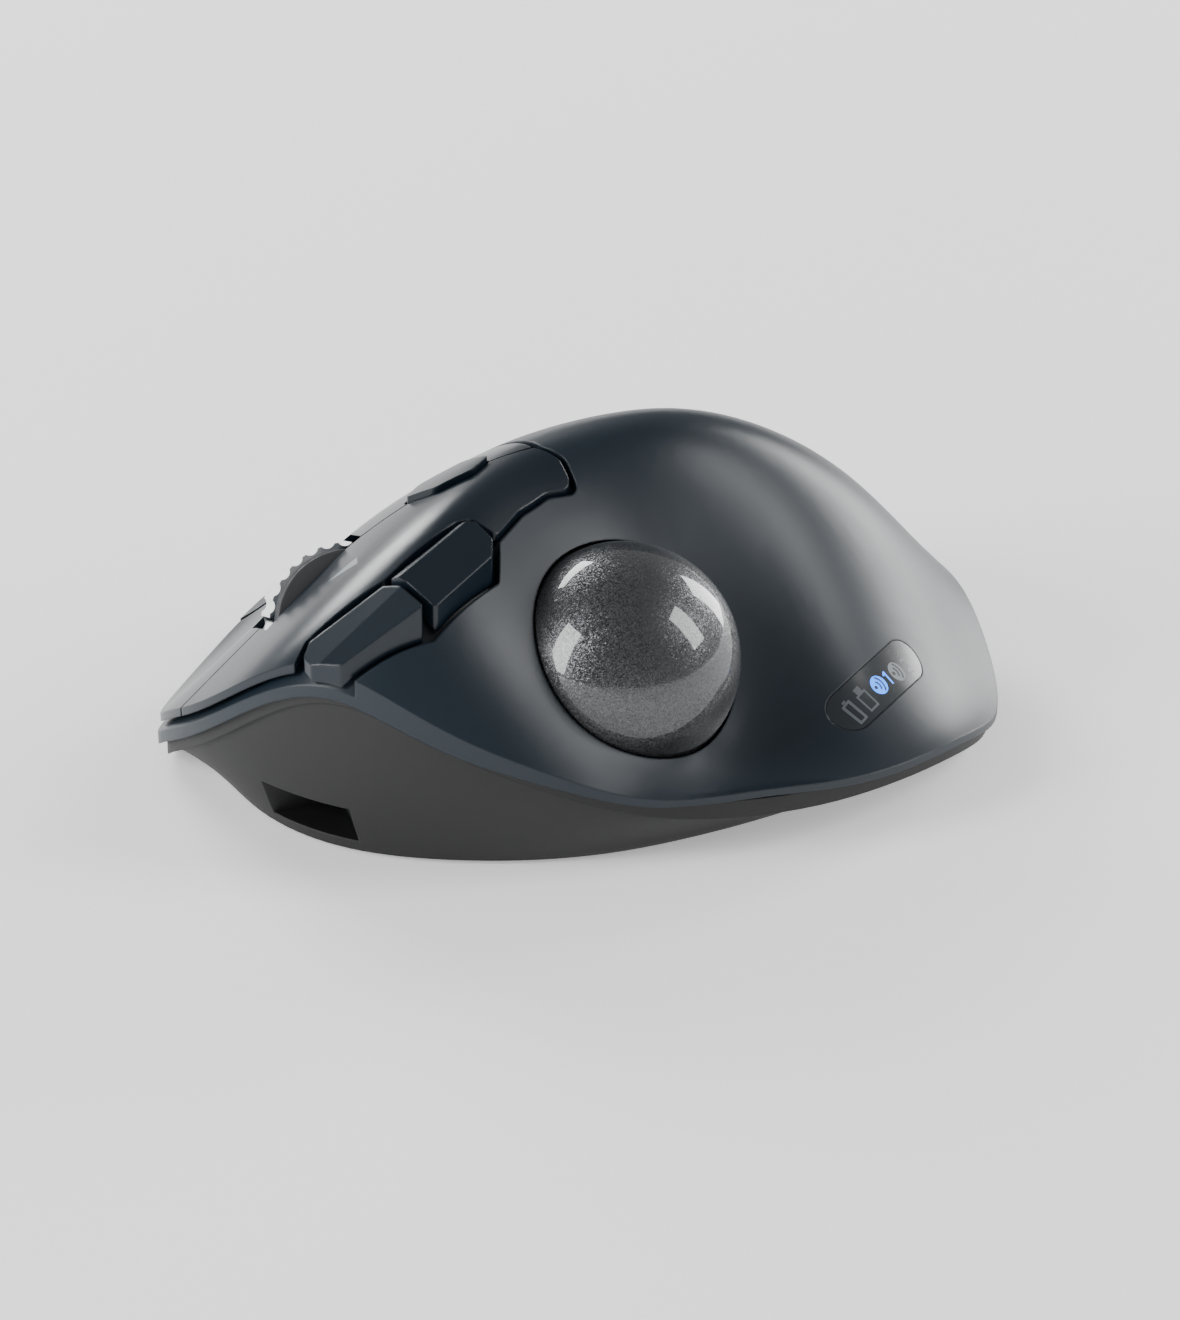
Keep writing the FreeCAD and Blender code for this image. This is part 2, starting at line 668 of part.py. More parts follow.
# Main board on four posts over the base's floor.
MAIN_BOARD = (3.0, 29.0, -3.0, 31.0)
MAIN_BOARD_Z = 5.2
MAIN_POSTS = ((5.5, -0.5), (26.5, -0.5), (5.5, 28.5), (26.5, 28.5))
POST_RADIUS = 2.2
SMALL_SHANK = 0.8

POWER_SWITCH = (12.0, 10.0)
PAIRING_BUTTON = (25.0, 10.0)

PORT_X = -21.0
PORT_BACK = 41.5
PORT_BACK_WALL = 1.5
PORT_BOARD_WALL = 0.8
PORT_Z = FLOOR_TOP + PORT_BOARD_WALL + size("port_height") / 2
BAY_WALL = 1.4

SENSOR_AXIS = Vector(0.85, 0.10, -0.52).normalize()
SENSOR_FRAME = Placement(BALL_CENTRE, Rotation(UPRIGHT, SENSOR_AXIS))
SENSOR_SEAT = CUP_OUTER + 0.6
SENSOR_LENS = 2.2
SENSOR_BOARD_WALL = 1.2

BEARING_RADIUS = size("bearing_diameter") / 2
BEARING_REACH = BALL_RADIUS + size("bearing_clearance") + BEARING_RADIUS
BEARING_POLAR = 58.0


def bearing_directions():
    """Three directions from the ball's centre, evenly round the socket's axis."""
    down = SOCKET_AXIS.negative()
    side = down.cross(SENSOR_AXIS).normalize()
    tipped = Rotation(side, BEARING_POLAR).multVec(down)
    return [Rotation(down, 60 + 120 * i).multVec(tipped) for i in range(3)]


def skin_normal(x, y):
    step = 0.5
    rise_x = (skin_height(x + step, y) - skin_height(x - step, y)) / (2 * step)
    rise_y = (skin_height(x, y + step) - skin_height(x, y - step)) / (2 * step)
    return Vector(-rise_x, -rise_y, 1).normalize()


WINDOW_CENTRE = spot(*WINDOW_SPOT)
WINDOW_NORMAL = skin_normal(WINDOW_CENTRE.x, WINDOW_CENTRE.y)
WINDOW_ALONG = (spot(-24.2, -44.0) - spot(-36.4, -28.0)).normalize()
WINDOW_UP = WINDOW_NORMAL.cross(WINDOW_ALONG).normalize()
WINDOW_FRAME = Placement(WINDOW_CENTRE, Rotation(WINDOW_ALONG, WINDOW_UP, WINDOW_NORMAL, "ZXY"))
GUIDE_DEPTH = 4.2


def stadium(length, height, low, high):
    """Upright stadium-shaped block in its own frame, long along X."""
    radius = height / 2
    reach = length / 2 - radius
    edges = (Part.makeLine(Vector(-reach, -radius, low), Vector(reach, -radius, low)),
             Part.Arc(Vector(reach, -radius, low), Vector(reach + radius, 0, low),
                      Vector(reach, radius, low)).toShape(),
             Part.makeLine(Vector(reach, radius, low), Vector(-reach, radius, low)),
             Part.Arc(Vector(-reach, radius, low), Vector(-reach - radius, 0, low),
                      Vector(-reach, -radius, low)).toShape())
    return Part.Face(Part.Wire(edges)).extrude(Vector(0, 0, high - low))


def window_block(shrink, low, high):
    """Stadium block in the window's frame, smaller all round by a distance."""
    shape = stadium(size("window_length") - 2 * shrink, size("window_height") - 2 * shrink, low, high)
    return moved(shape, WINDOW_FRAME)


def wheel_space(air):
    """Drum-shaped space that the wheel needs."""
    width = size("wheel_width") + 2 * air
    start = WHEEL_CENTRE - AXLE_DIRECTION * (width / 2)
    return rod(start, AXLE_DIRECTION, WHEEL_RADIUS + air, width)


def deck_rod(place, radius, low, high):
    """Rod along the deck's normal, from drawn deck coordinates."""
    return moved(rod(Vector(place[0], place[1], low), UPRIGHT, radius, high - low), DECK_FRAME)


def side_rod(place, radius, low, high):
    return moved(rod(Vector(place.x, place.y, low), UPRIGHT, radius, high - low), SIDE_FRAME)


def hinge_point(place):
    """Middle of a hinge pin, low enough to pass under the deck at both its ends."""
    x, y = place[0] * ACROSS, place[1] * ALONG
    lowest = min(skin_height(x - PIN_HALF, y), skin_height(x + PIN_HALF, y))
    return Vector(x, y, lowest - HINGE_DROP)


# ---------------------------------------------------------------- top cover
def hinge_ears(place):
    """Two ears that hold a plate's pin, hanging from the deck."""
    middle = hinge_point(place)
    inner = HINGE_LENGTH / 2 + HINGE_SIDE_GAP
    ears = []
    for side in (-1, 1):
        near = middle.x + side * inner
        far = middle.x + side * (inner + HINGE_EAR)
        ears.append(block(min(near, far), max(near, far), middle.y - 2.0, middle.y + 2.0,
                          middle.z - 1.8, middle.z + 8.0))
    return ears


def hinge_window(place):
    middle = hinge_point(place)
    half = HINGE_LENGTH / 2 + HINGE_SIDE_GAP
    return block(middle.x - half, middle.x + half, middle.y - 2.0, middle.y + 2.0,
                 middle.z - 6.0, middle.z + 6.0)


def pin_rod(place, radius):
    middle = hinge_point(place)
    half = PIN_HALF + 1.0
    return rod(middle - Vector(half, 0, 0), Vector(1, 0, 0), radius, 2 * half)


def top_cover():
    shell = cover_shell()
    posts = []
    for place in (LEFT_HINGE, RIGHT_HINGE):
        posts += hinge_ears(place)
    for place in BOARD_SCREWS:
        posts.append(deck_rod(place, POST_RADIUS, BOARD_TOP, 9.0))
    for place in SIDE_POSTS:
        posts.append(side_rod(place, SIDE_POST_RADIUS, 0.0, 12.0))
    inside = under(DECK_BOTTOM - 0.6)
    hung = [post.common(inside) for post in posts]
    for x, y in CASE_SCREWS:
        boss = rod(Vector(x * ACROSS, y * ALONG, BOSS_JOINT), UPRIGHT, BOSS_RADIUS - 0.4, 60)
        hung.append(boss.common(under(1.0)))
    body = shell.fuse(hung)
    holes = [Part.makeSphere(CUP_INNER, BALL_CENTRE), wheel_space(size("wheel_air"))]
    for place in (LEFT_HINGE, RIGHT_HINGE):
        holes.append(hinge_window(place))
        holes.append(pin_rod(place, size("pin_diameter") / 2))
    for place in (LEFT_SWITCH, RIGHT_SWITCH):
        holes.append(deck_rod(place, PLUNGER_RADIUS + PLUNGER_AIR, -3.0, 9.0))
    for place in BOARD_SCREWS:
        holes.append(deck_rod(place, SMALL_SHANK, BOARD_TOP, BOARD_TOP + 4.0))
    for place in SIDE_POSTS:
        holes.append(side_rod(place, SMALL_SHANK, 0.0, 3.0))
    for place in (FRONT_STEM, BACK_STEM):
        holes.append(side_rod(place, STEM_RADIUS + STEM_AIR, 0.0, 15.0))
    holes.append(rod(Vector(MODE_STEM.x, MODE_STEM.y, MODE_STEM.z - 8), UPRIGHT,
                     STEM_RADIUS + STEM_AIR, 12))
    for x, y in CASE_SCREWS:
        holes.append(rod(Vector(x * ACROSS, y * ALONG, BOSS_JOINT), UPRIGHT,
                         size("screw_diameter") / 2, SHANK_TOP - BOSS_JOINT + 0.3))
    holes.append(window_block(-0.1, -6.0, 6.0).cut(under(size("window_wall") + 0.1)))
    holes.append(window_block(1.0, -8.0, 6.0))
    return body.cut(holes)


# ---------------------------------------------------------------- base
def base_cover():
    body = base_shell()
    width = size("port_bay_width")
    height = size("port_bay_height")
    low = PORT_Z - height / 2
    front = 70.0 * ALONG
    x_low = PORT_X * ACROSS - width / 2
    x_high = PORT_X * ACROSS + width / 2
    back = PORT_BACK * ALONG
    bay = block(x_low - BAY_WALL, x_high + BAY_WALL, back - PORT_BACK_WALL, front,
                size("foot_rise"), low + height + BAY_WALL)
    added = [bay.common(OUTER_HULL)]
    floor = size("foot_rise")
    for x, y in CASE_SCREWS:
        boss = rod(Vector(x * ACROSS, y * ALONG, floor), UPRIGHT, BOSS_RADIUS, BOSS_JOINT - floor)
        added.append(boss.common(OUTER_HULL))
    for x, y in MAIN_POSTS:
        added.append(rod(Vector(x * ACROSS, y * ALONG, floor), UPRIGHT, POST_RADIUS,
                         MAIN_BOARD_Z - floor))
    pedestal = rod(Vector(BALL_CENTRE.x, BALL_CENTRE.y, floor), UPRIGHT, 9.0, 7.0)
    pedestal = pedestal.cut(rod(Vector(BALL_CENTRE.x, BALL_CENTRE.y, FLOOR_TOP), UPRIGHT, 7.4, 9.0))
    added.append(pedestal.cut(Part.makeSphere(CUP_OUTER + 0.08, BALL_CENTRE)))
    body = body.fuse(added)
    half_width = size("port_width") / 2 + 0.15
    half_height = size("port_height") / 2 + 0.1
    port = block(PORT_X * ACROSS - half_width, PORT_X * ACROSS + half_width, back - 9.0, back + 1.0,
                 PORT_Z - half_height, PORT_Z + half_height)
    holes = [block(x_low, x_high, back, front, low, low + height), port]
    for x, y in CASE_SCREWS:
        centre = Vector(x * ACROSS, y * ALONG, 0)
        holes.append(rod(centre, UPRIGHT, size("screw_head") / 2 + 0.2, HEAD_SEAT))
        holes.append(rod(centre, UPRIGHT, size("screw_diameter") / 2 + 0.1, BOSS_JOINT + 1))
    for x, y in MAIN_POSTS:
        holes.append(rod(Vector(x * ACROSS, y * ALONG, FLOOR_TOP - 1.0), UPRIGHT, SMALL_SHANK, 6.0))
    for x, y in FEET:
        holes.append(rod(Vector(x * ACROSS, y * ALONG, 0), UPRIGHT, size("foot_radius") + 0.1,
                         floor + size("foot_sink")))
    x, y = POWER_SWITCH[0] * ACROSS, POWER_SWITCH[1] * ALONG
    holes.append(block(x - 5.2, x + 5.2, y - 2.6, y + 2.6, 0.0, floor + 0.8))
    holes.append(block(x - 4.2, x + 4.2, y - 1.6, y + 1.6, 0.0, FLOOR_TOP + 1))
    x, y = PAIRING_BUTTON[0] * ACROSS, PAIRING_BUTTON[1] * ALONG
    holes.append(rod(Vector(x, y, 0), UPRIGHT, 2.3, FLOOR_TOP + 1))
    return body.cut(holes)


print("covers")
base = moulding("base_cover", base_cover())
cover = moulding("top_cover", top_cover())
print("buttons")


# ---------------------------------------------------------------- button plates
def plate(corners, hinge, switch):
    """Thin shaped plate with a hinge barrel behind and a plunger over its switch."""
    inset_prism = prism(outline_wire(plate_inset))
    body = prism(plan(corners, -SEAM / 2)).common(inset_prism).common(sheet_between(0.0, PLATE))
    body = body.cut([prism(plan(MODE_BUTTON, SEAM / 2)), wheel_space(size("wheel_air"))])
    middle = hinge_point(hinge)
    half = HINGE_LENGTH / 2
    barrel = rod(middle - Vector(half, 0, 0), Vector(1, 0, 0), HINGE_BARREL, HINGE_LENGTH)
    web = block(middle.x - half, middle.x + half, middle.y - 1.0, middle.y + 1.0,
                middle.z, middle.z + 8.0).common(under(PLATE / 2))
    low = BOARD_TOP + SWITCH_TOP + PLATE_STROKE_GAP
    plunger = deck_rod(switch, PLUNGER_RADIUS, low, 12.0).common(under(PLATE / 2))
    body = body.fuse([barrel, web, plunger])
    bore = rod(middle - Vector(half + 1, 0, 0), Vector(1, 0, 0),
               size("pin_diameter") / 2 + size("running_fit"), HINGE_LENGTH + 2)
    return body.cut(bore)


moulding("left_button", plate(LEFT_PLATE, LEFT_HINGE, LEFT_SWITCH))
moulding("right_button", plate(RIGHT_PLATE, RIGHT_HINGE, RIGHT_SWITCH))


# ---------------------------------------------------------------- side and mode buttons
def side_button(corners, top_points, face_points, stem):
    """Faceted key cap that stands proud of the flank, with its stem."""
    body = prism(plan(corners, -SEAM / 2)).cut(under(PLATE))
    body = body.cut([above_plane(*[spot(*point) for point in top_points]),
                     above_plane(*[spot(*point) for point in face_points])])
    post = side_rod(stem, STEM_RADIUS, TACT_TOP + STEM_GAP, 30.0).common(under(PLATE / 2))
    return body.fuse(post)


moulding("front_side_button", side_button(
    FRONT_BUTTON,
    ((-23.7, 47.6, 0.3), (-23.7, 36.6, 0.3), (-25.8, 35.0, 1.3)),
    ((-25.6, 48.9, 1.2), (-25.9, 35.0, 1.4), (-31.2, 39.0, 2.4)), FRONT_STEM))
moulding("back_side_button", side_button(
    BACK_BUTTON,
    ((-23.7, 36.1, 0.3), (-17.8, 24.0, 0.3), (-22.0, 28.4, 1.3)),
    ((-25.6, 34.3, 1.4), (-19.2, 22.4, 1.4), (-27.5, 26.2, 2.4)), BACK_STEM))


def mode_button():
    cap = prism(plan(MODE_BUTTON, -SEAM / 2)).common(sheet_between(-MODE_RAISE, PLATE))
    plunger_face = DECK_FRAME.multVec(Vector(MODE_SWITCH.x, MODE_SWITCH.y, BOARD_TOP + TACT_TOP))
    low = plunger_face.z + MODE_TRAVEL + 1.2
    stem = rod(Vector(MODE_STEM.x, MODE_STEM.y, low), UPRIGHT, STEM_RADIUS, 40)
    return cap.fuse(stem.common(under(PLATE / 2)))


moulding("mode_button", mode_button())

# ---------------------------------------------------------------- status window
window_glass = window_block(0.0, -6.0, 6.0).common(sheet_between(0.05, size("window_wall")))
moulding("status_window", window_glass)
guide = window_block(1.1, -GUIDE_DEPTH, 6.0).common(under(size("window_wall") + 0.1))
moulding("light_guide", guide)
LED_SIDE = 2.0
LED_HEIGHT = 0.7
LED_BOARD_WALL = 1.0
led_z = -GUIDE_DEPTH - LED_HEIGHT
leds = []
for i in range(4):
    x = (i - 1.5) * 4.4
    led = primitive("Part::Box", f"led_{i + 1}", {}, None)
    led.Length = LED_SIDE
    led.Width = LED_SIDE
    led.Height = LED_HEIGHT
    led.Placement = Placement(Vector(x - LED_SIDE / 2, -LED_SIDE / 2, led_z), Rotation())
    leds.append(led)
led_group = keep(grouped("status_leds", leds), "status_leds")
led_group.Placement = WINDOW_FRAME
led_board = new_body("led_board", WINDOW_FRAME)
led_sketch = new_sketch(led_board, "XY_Plane", "led_board_outline")
draw_rectangle(led_sketch, "Sizes.window_length - 3", "Sizes.window_height - 1")
led_sketch.AttachmentOffset = Placement(Vector(0, 0, led_z - LED_BOARD_WALL), Rotation())
pad(led_board, led_sketch, "led_board_pad", f"{LED_BOARD_WALL}")

# ---------------------------------------------------------------- ball, cup and sensor
print("ball")
ball = primitive("Part::Sphere", "ball", {"Radius": "Sizes.ball_diameter / 2"},
                 Placement(BALL_CENTRE, Rotation(UPRIGHT, SOCKET_AXIS)))
keep(ball, "ball")


def ball_cup():
    """Open spherical cup with seats for the bearings and the sensor."""
    shell = Part.makeSphere(CUP_OUTER, BALL_CENTRE)
    seats = [rod(BALL_CENTRE + SENSOR_AXIS * (BALL_RADIUS - 2), SENSOR_AXIS, 7.5,
                 SENSOR_SEAT - BALL_RADIUS + 2)]
    for way in bearing_directions():
        seats.append(rod(BALL_CENTRE + way * BALL_RADIUS, way, BEARING_RADIUS + 1.3,
                         BEARING_REACH + BEARING_RADIUS + 0.9 - BALL_RADIUS))
    shell = shell.fuse(seats).common(under(size("cover_wall") + 0.2))
    holes = [Part.makeSphere(CUP_INNER, BALL_CENTRE),
             rod(BALL_CENTRE, SENSOR_AXIS, 3.0, SENSOR_SEAT + 1)]
    for way in bearing_directions():
        holes.append(Part.makeSphere(BEARING_RADIUS + 0.04, BALL_CENTRE + way * BEARING_REACH))
        holes.append(rod(BALL_CENTRE, way, BEARING_RADIUS * 0.9, BEARING_REACH))
    return shell.cut(holes)


moulding("ball_cup", ball_cup())
bearings = []
for i, way in enumerate(bearing_directions()):
    bearings.append(primitive("Part::Sphere", f"bearing_{i + 1}",
                              {"Radius": "Sizes.bearing_diameter / 2"},
                              Placement(BALL_CENTRE + way * BEARING_REACH, Rotation())))
keep(grouped("cup_bearings", bearings), "cup_bearings")


def sensor_part(label, width, height, low, wall, hole):
    """Square piece on the sensor's axis, with a light hole in its middle."""
    body = new_body(label, SENSOR_FRAME)
    sketch = new_sketch(body, "XY_Plane", label + "_outline")
    sketch.AttachmentOffset = Placement(Vector(0, 0, low), Rotation())
    draw_rectangle(sketch, f"{width}", f"{height}")
    pad(body, sketch, label + "_pad", f"{wall}")
    if hole:
        bore = new_sketch(body, "XY_Plane", label + "_bore")
        bore.AttachmentOffset = Placement(Vector(0, 0, low), Rotation())
        draw_circle(bore, f"{hole}")
        pocket(body, bore, label + "_hole", f"{wall}", backward=True)
    return body


sensor_part("sensor_lens", 11.0, 11.0, SENSOR_SEAT, SENSOR_LENS, 0)
sensor_part("sensor_board", 17.0, 17.0, SENSOR_SEAT + SENSOR_LENS, SENSOR_BOARD_WALL, 2.0)
sensor_part("optical_sensor", 9.0, 11.0, SENSOR_SEAT + SENSOR_LENS + SENSOR_BOARD_WALL, 2.4, 0)

# ---------------------------------------------------------------- scroll wheel, about local Z
print("wheel")
hub = new_body("wheel_hub", WHEEL_FRAME)
hub_core = new_sketch(hub, "XY_Plane", "hub_core")
draw_circle(hub_core, "Sizes.wheel_diameter / 2 - Sizes.ring_wall")
pad(hub, hub_core, "hub_core_pad", "Sizes.ring_width", both_ways=True)
flange = new_sketch(hub, "XY_Plane", "hub_flange", "-Sizes.wheel_width / 2")
draw_circle(flange, "Sizes.wheel_diameter / 2 - 1")
pad(hub, flange, "hub_flange_pad", "(Sizes.wheel_width - Sizes.ring_width) / 2")
hub_bore = new_sketch(hub, "XY_Plane", "hub_bore")
draw_circle(hub_bore, "Sizes.axle_diameter / 2")
pocket(hub, hub_bore, "hub_bore_pocket", "2 * Sizes.wheel_width", both_ways=True)

cap = new_body("wheel_cap", WHEEL_FRAME)
cap_disc = new_sketch(cap, "XY_Plane", "cap_disc", "Sizes.ring_width / 2")
draw_circle(cap_disc, "Sizes.wheel_diameter / 2 - 1")
pad(cap, cap_disc, "cap_disc_pad", "(Sizes.wheel_width - Sizes.ring_width) / 2")
cap_bore = new_sketch(cap, "XY_Plane", "cap_bore")
draw_circle(cap_bore, "Sizes.axle_diameter / 2")
pocket(cap, cap_bore, "cap_bore_pocket", "2 * Sizes.wheel_width", both_ways=True)

ring = new_body("wheel_ring", WHEEL_FRAME)
ring_disc = new_sketch(ring, "XY_Plane", "ring_disc")
draw_circle(ring_disc, "Sizes.wheel_diameter / 2")
draw_circle(ring_disc, "Sizes.wheel_diameter / 2 - Sizes.ring_wall")
pad(ring, ring_disc, "ring_pad", "Sizes.ring_width", both_ways=True)
flute = new_sketch(ring, "XY_Plane", "flute")
draw_circle(flute, "2.2 * Sizes.flute_depth", "Sizes.wheel_diameter / 2 + 1.2 * Sizes.flute_depth", "0")
flute_cut = pocket(ring, flute, "flute_pocket", "2 * Sizes.ring_width", both_ways=True)
flutes = ring.newObject("PartDesign::PolarPattern", "flutes")
flutes.Originals = [flute_cut]
flutes.Axis = (flute, ["N_Axis"])
flutes.Angle = 360
flutes.Occurrences = int(size("flute_count"))
ring.Tip = flutes

AXLE_LEFT = 6.2
AXLE_RIGHT = 8.8
axle = cylinder("wheel_axle", "Sizes.axle_diameter / 2", f"{AXLE_LEFT + AXLE_RIGHT}",
                Vector(0, 0, 0))
axle.Placement = WHEEL_FRAME.multiply(Placement(Vector(0, 0, -AXLE_RIGHT), Rotation()))
keep(axle, "wheel_axle")

# Cradle: a fork round the wheel, in the deck's frame, turning about its rear pins.
ARM_INNER = size("wheel_width") / 2 + 0.5
ARM_WALL = 1.5
ARM_OUTER = ARM_INNER + ARM_WALL
ARM_LOW = -1.5
ARM_HIGH = 2.2
PIVOT_Y = -WHEEL_RADIUS - 4.2
PIVOT_Z = -0.4
PIVOT_RADIUS = 1.2
PIVOT_REACH = 2.0
TOE_FRONT = 9.5
AXLE_BOSS = 2.5
MIDDLE_SWITCH = (-ARM_OUTER - 1.4, 6.4)


def wheel_cradle():
    bore = size("axle_diameter") / 2 + size("running_fit")
    parts = []
    for side in (-1, 1):
        low = min(side * ARM_INNER, side * ARM_OUTER)
        high = max(side * ARM_INNER, side * ARM_OUTER)
        parts.append(block(low, high, PIVOT_Y - 1.9, 0.0, ARM_LOW, ARM_HIGH))
        parts.append(rod(Vector(low, 0, 0), Vector(1, 0, 0), AXLE_BOSS, ARM_WALL))
        start = min(side * ARM_INNER, side * (ARM_OUTER + PIVOT_REACH))
        parts.append(rod(Vector(start, PIVOT_Y, PIVOT_Z), Vector(1, 0, 0), PIVOT_RADIUS,
                         ARM_WALL + PIVOT_REACH))
    parts.append(block(-ARM_OUTER, ARM_OUTER, PIVOT_Y - 1.9, PIVOT_Y + 1.6, ARM_LOW, ARM_HIGH))
    parts.append(block(-ARM_OUTER, -ARM_INNER, 0.0, TOE_FRONT, -0.9, 1.2))
    parts.append(block(-ARM_OUTER - 2.8, -ARM_INNER, 3.6, TOE_FRONT, -0.9, 1.2))
    fork = parts[0].fuse(parts[1:])
    return fork.cut(rod(Vector(-20, 0, 0), Vector(1, 0, 0), bore, 40))


moulding("wheel_cradle", wheel_cradle(), DECK_FRAME)

ENCODER_WALL = 2.8


def wheel_encoder():
    case = block(ARM_OUTER, ARM_OUTER + ENCODER_WALL, -4.0, 5.0, -4.2, 3.4)
    bore = size("axle_diameter") / 2 + size("running_fit")
    return case.cut([rod(Vector(0, 0, 0), Vector(1, 0, 0), bore, 20),
                     rod(Vector(0, 0, 0), Vector(1, 0, 0), AXLE_BOSS + 0.1, ARM_OUTER + 0.05)])


moulding("wheel_encoder", wheel_encoder(), DECK_FRAME)

# Bracket: two ears for the cradle's pins, on the switch board.
EAR_INNER = ARM_OUTER + 0.3
EAR_OUTER = EAR_INNER + 1.8


def wheel_bracket():
    rear = PIVOT_Y - 4.6
    parts = [block(-EAR_OUTER, EAR_OUTER, rear, PIVOT_Y - 2.4, BOARD_TOP, BOARD_TOP + 2.2)]
    for side in (-1, 1):
        low = min(side * EAR_INNER, side * EAR_OUTER)
        high = max(side * EAR_INNER, side * EAR_OUTER)
        parts.append(block(low, high, rear, PIVOT_Y + 2.4, BOARD_TOP, PIVOT_Z + 2.4))
    bore = PIVOT_RADIUS + size("running_fit")
    return parts[0].fuse(parts[1:]).cut(rod(Vector(-20, PIVOT_Y, PIVOT_Z), Vector(1, 0, 0), bore, 40))


moulding("wheel_bracket", wheel_bracket(), DECK_FRAME)

# ---------------------------------------------------------------- switch board and switches
print("boards")
SLOT_HALF = WHEEL_RADIUS + 1.1
board = new_body("switch_board", DECK_FRAME)
board_sketch = new_sketch(board, "XY_Plane", "switch_board_outline")
board_sketch.AttachmentOffset = Placement(Vector(0, 0, BOARD_TOP - BOARD_WALL), Rotation())
draw_rectangle(board_sketch, f"{BOARD_RIGHT - BOARD_LEFT}", f"{BOARD_FRONT - BOARD_REAR}",
               f"{(BOARD_RIGHT + BOARD_LEFT) / 2}", f"{(BOARD_FRONT + BOARD_REAR) / 2}")
pad(board, board_sketch, "switch_board_pad", "Sizes.board_wall")
slot = new_sketch(board, "XY_Plane", "wheel_slot")
slot.AttachmentOffset = Placement(Vector(0, 0, BOARD_TOP - BOARD_WALL), Rotation())
draw_rectangle(slot, "Sizes.wheel_width + 3", f"{2 * SLOT_HALF}", "0", "0")
pocket(board, slot, "wheel_slot_pocket", "Sizes.board_wall", backward=True)
for i, (x, y) in enumerate(BOARD_SCREWS):
    hole = new_sketch(board, "XY_Plane", f"board_hole_{i + 1}")
    hole.AttachmentOffset = Placement(Vector(0, 0, BOARD_TOP - BOARD_WALL), Rotation())
    draw_circle(hole, f"{SMALL_SHANK + 0.1}", f"{x}", f"{y}")
    pocket(board, hole, f"board_hole_pocket_{i + 1}", "Sizes.board_wall", backward=True)


def snap_switch(label, place):
    """Snap-action switch with a small plunger, standing on the switch board."""
    x, y = place
    case = box(label + "_case", f"{SWITCH_WIDTH}", f"{SWITCH_LENGTH}", f"{SWITCH_BODY}",
               Vector(x - SWITCH_WIDTH / 2, y - SWITCH_LENGTH / 2, BOARD_TOP))
    plunger = box(label + "_plunger", "2.8", "1.4", f"{SWITCH_TOP - 1.0}",
                  Vector(x - 1.4, y - 0.7, BOARD_TOP + 1.0))
    switch = joined(label, [case, plunger])
    switch.Placement = DECK_FRAME
    return keep(switch, label)


def tact_shape(name, x, y, z):
    """Small square push switch with a round dot."""
    case = box(name + "_case", f"{TACT_SIDE}", f"{TACT_SIDE}", f"{TACT_BODY}",
               Vector(x - TACT_SIDE / 2, y - TACT_SIDE / 2, z))
    dot = cylinder(name + "_dot", f"{TACT_DOT}", f"{TACT_TOP}", Vector(x, y, z))
    return joined(name + "_switch", [case, dot])


snap_switch("left_switch", LEFT_SWITCH)
snap_switch("right_switch", RIGHT_SWITCH)
middle = tact_shape("middle", MIDDLE_SWITCH[0], MIDDLE_SWITCH[1], BOARD_TOP)
middle.Placement = DECK_FRAME
keep(middle, "middle_switch")
mode = tact_shape("mode", MODE_SWITCH.x, MODE_SWITCH.y, BOARD_TOP)
mode.Placement = DECK_FRAME
keep(mode, "mode_switch")

SIDE_BOARD = (-3.4, 7.2, -14.2, 3.4)
side_x = (SIDE_BOARD[0] + SIDE_BOARD[1]) / 2
side_y = (SIDE_BOARD[2] + SIDE_BOARD[3]) / 2
side_board = new_body("side_board", SIDE_FRAME)
side_sketch = new_sketch(side_board, "XY_Plane", "side_board_outline")
side_sketch.AttachmentOffset = Placement(Vector(0, 0, -1.2), Rotation())
draw_rectangle(side_sketch, f"{SIDE_BOARD[1] - SIDE_BOARD[0]}",
               f"{SIDE_BOARD[3] - SIDE_BOARD[2]}", f"{side_x}", f"{side_y}")
pad(side_board, side_sketch, "side_board_pad", "1.2")
for i, place in enumerate(SIDE_POSTS):
    hole = new_sketch(side_board, "XY_Plane", f"side_hole_{i + 1}")
    hole.AttachmentOffset = Placement(Vector(0, 0, -1.2), Rotation())
    draw_circle(hole, f"{SMALL_SHANK + 0.1}", f"{place.x}", f"{place.y}")
    pocket(side_board, hole, f"side_hole_pocket_{i + 1}", "1.2", backward=True)
side_switches = grouped("side_switches", [tact_shape("front_side", FRONT_STEM.x, FRONT_STEM.y, 0.0),
                                          tact_shape("back_side", BACK_STEM.x, BACK_STEM.y, 0.0)])
side_switches.Placement = SIDE_FRAME
keep(side_switches, "side_switches")

# ---------------------------------------------------------------- main board, port and cell
main_x = (MAIN_BOARD[0] + MAIN_BOARD[1]) / 2 * ACROSS
main_y = (MAIN_BOARD[2] + MAIN_BOARD[3]) / 2 * ALONG
main_width = (MAIN_BOARD[1] - MAIN_BOARD[0]) * ACROSS
main_length = (MAIN_BOARD[3] - MAIN_BOARD[2]) * ALONG
main_board = new_body("main_board", Placement(Vector(0, 0, MAIN_BOARD_Z), Rotation()))
main_sketch = new_sketch(main_board, "XY_Plane", "main_board_outline")
draw_rectangle(main_sketch, f"{main_width}", f"{main_length}", f"{main_x}", f"{main_y}")
pad(main_board, main_sketch, "main_board_pad", "Sizes.board_wall")
for i, (x, y) in enumerate(MAIN_POSTS):
    hole = new_sketch(main_board, "XY_Plane", f"main_hole_{i + 1}")
    draw_circle(hole, f"{SMALL_SHANK + 0.1}", f"{x * ACROSS}", f"{y * ALONG}")
    pocket(main_board, hole, f"main_hole_pocket_{i + 1}", "Sizes.board_wall", backward=True)

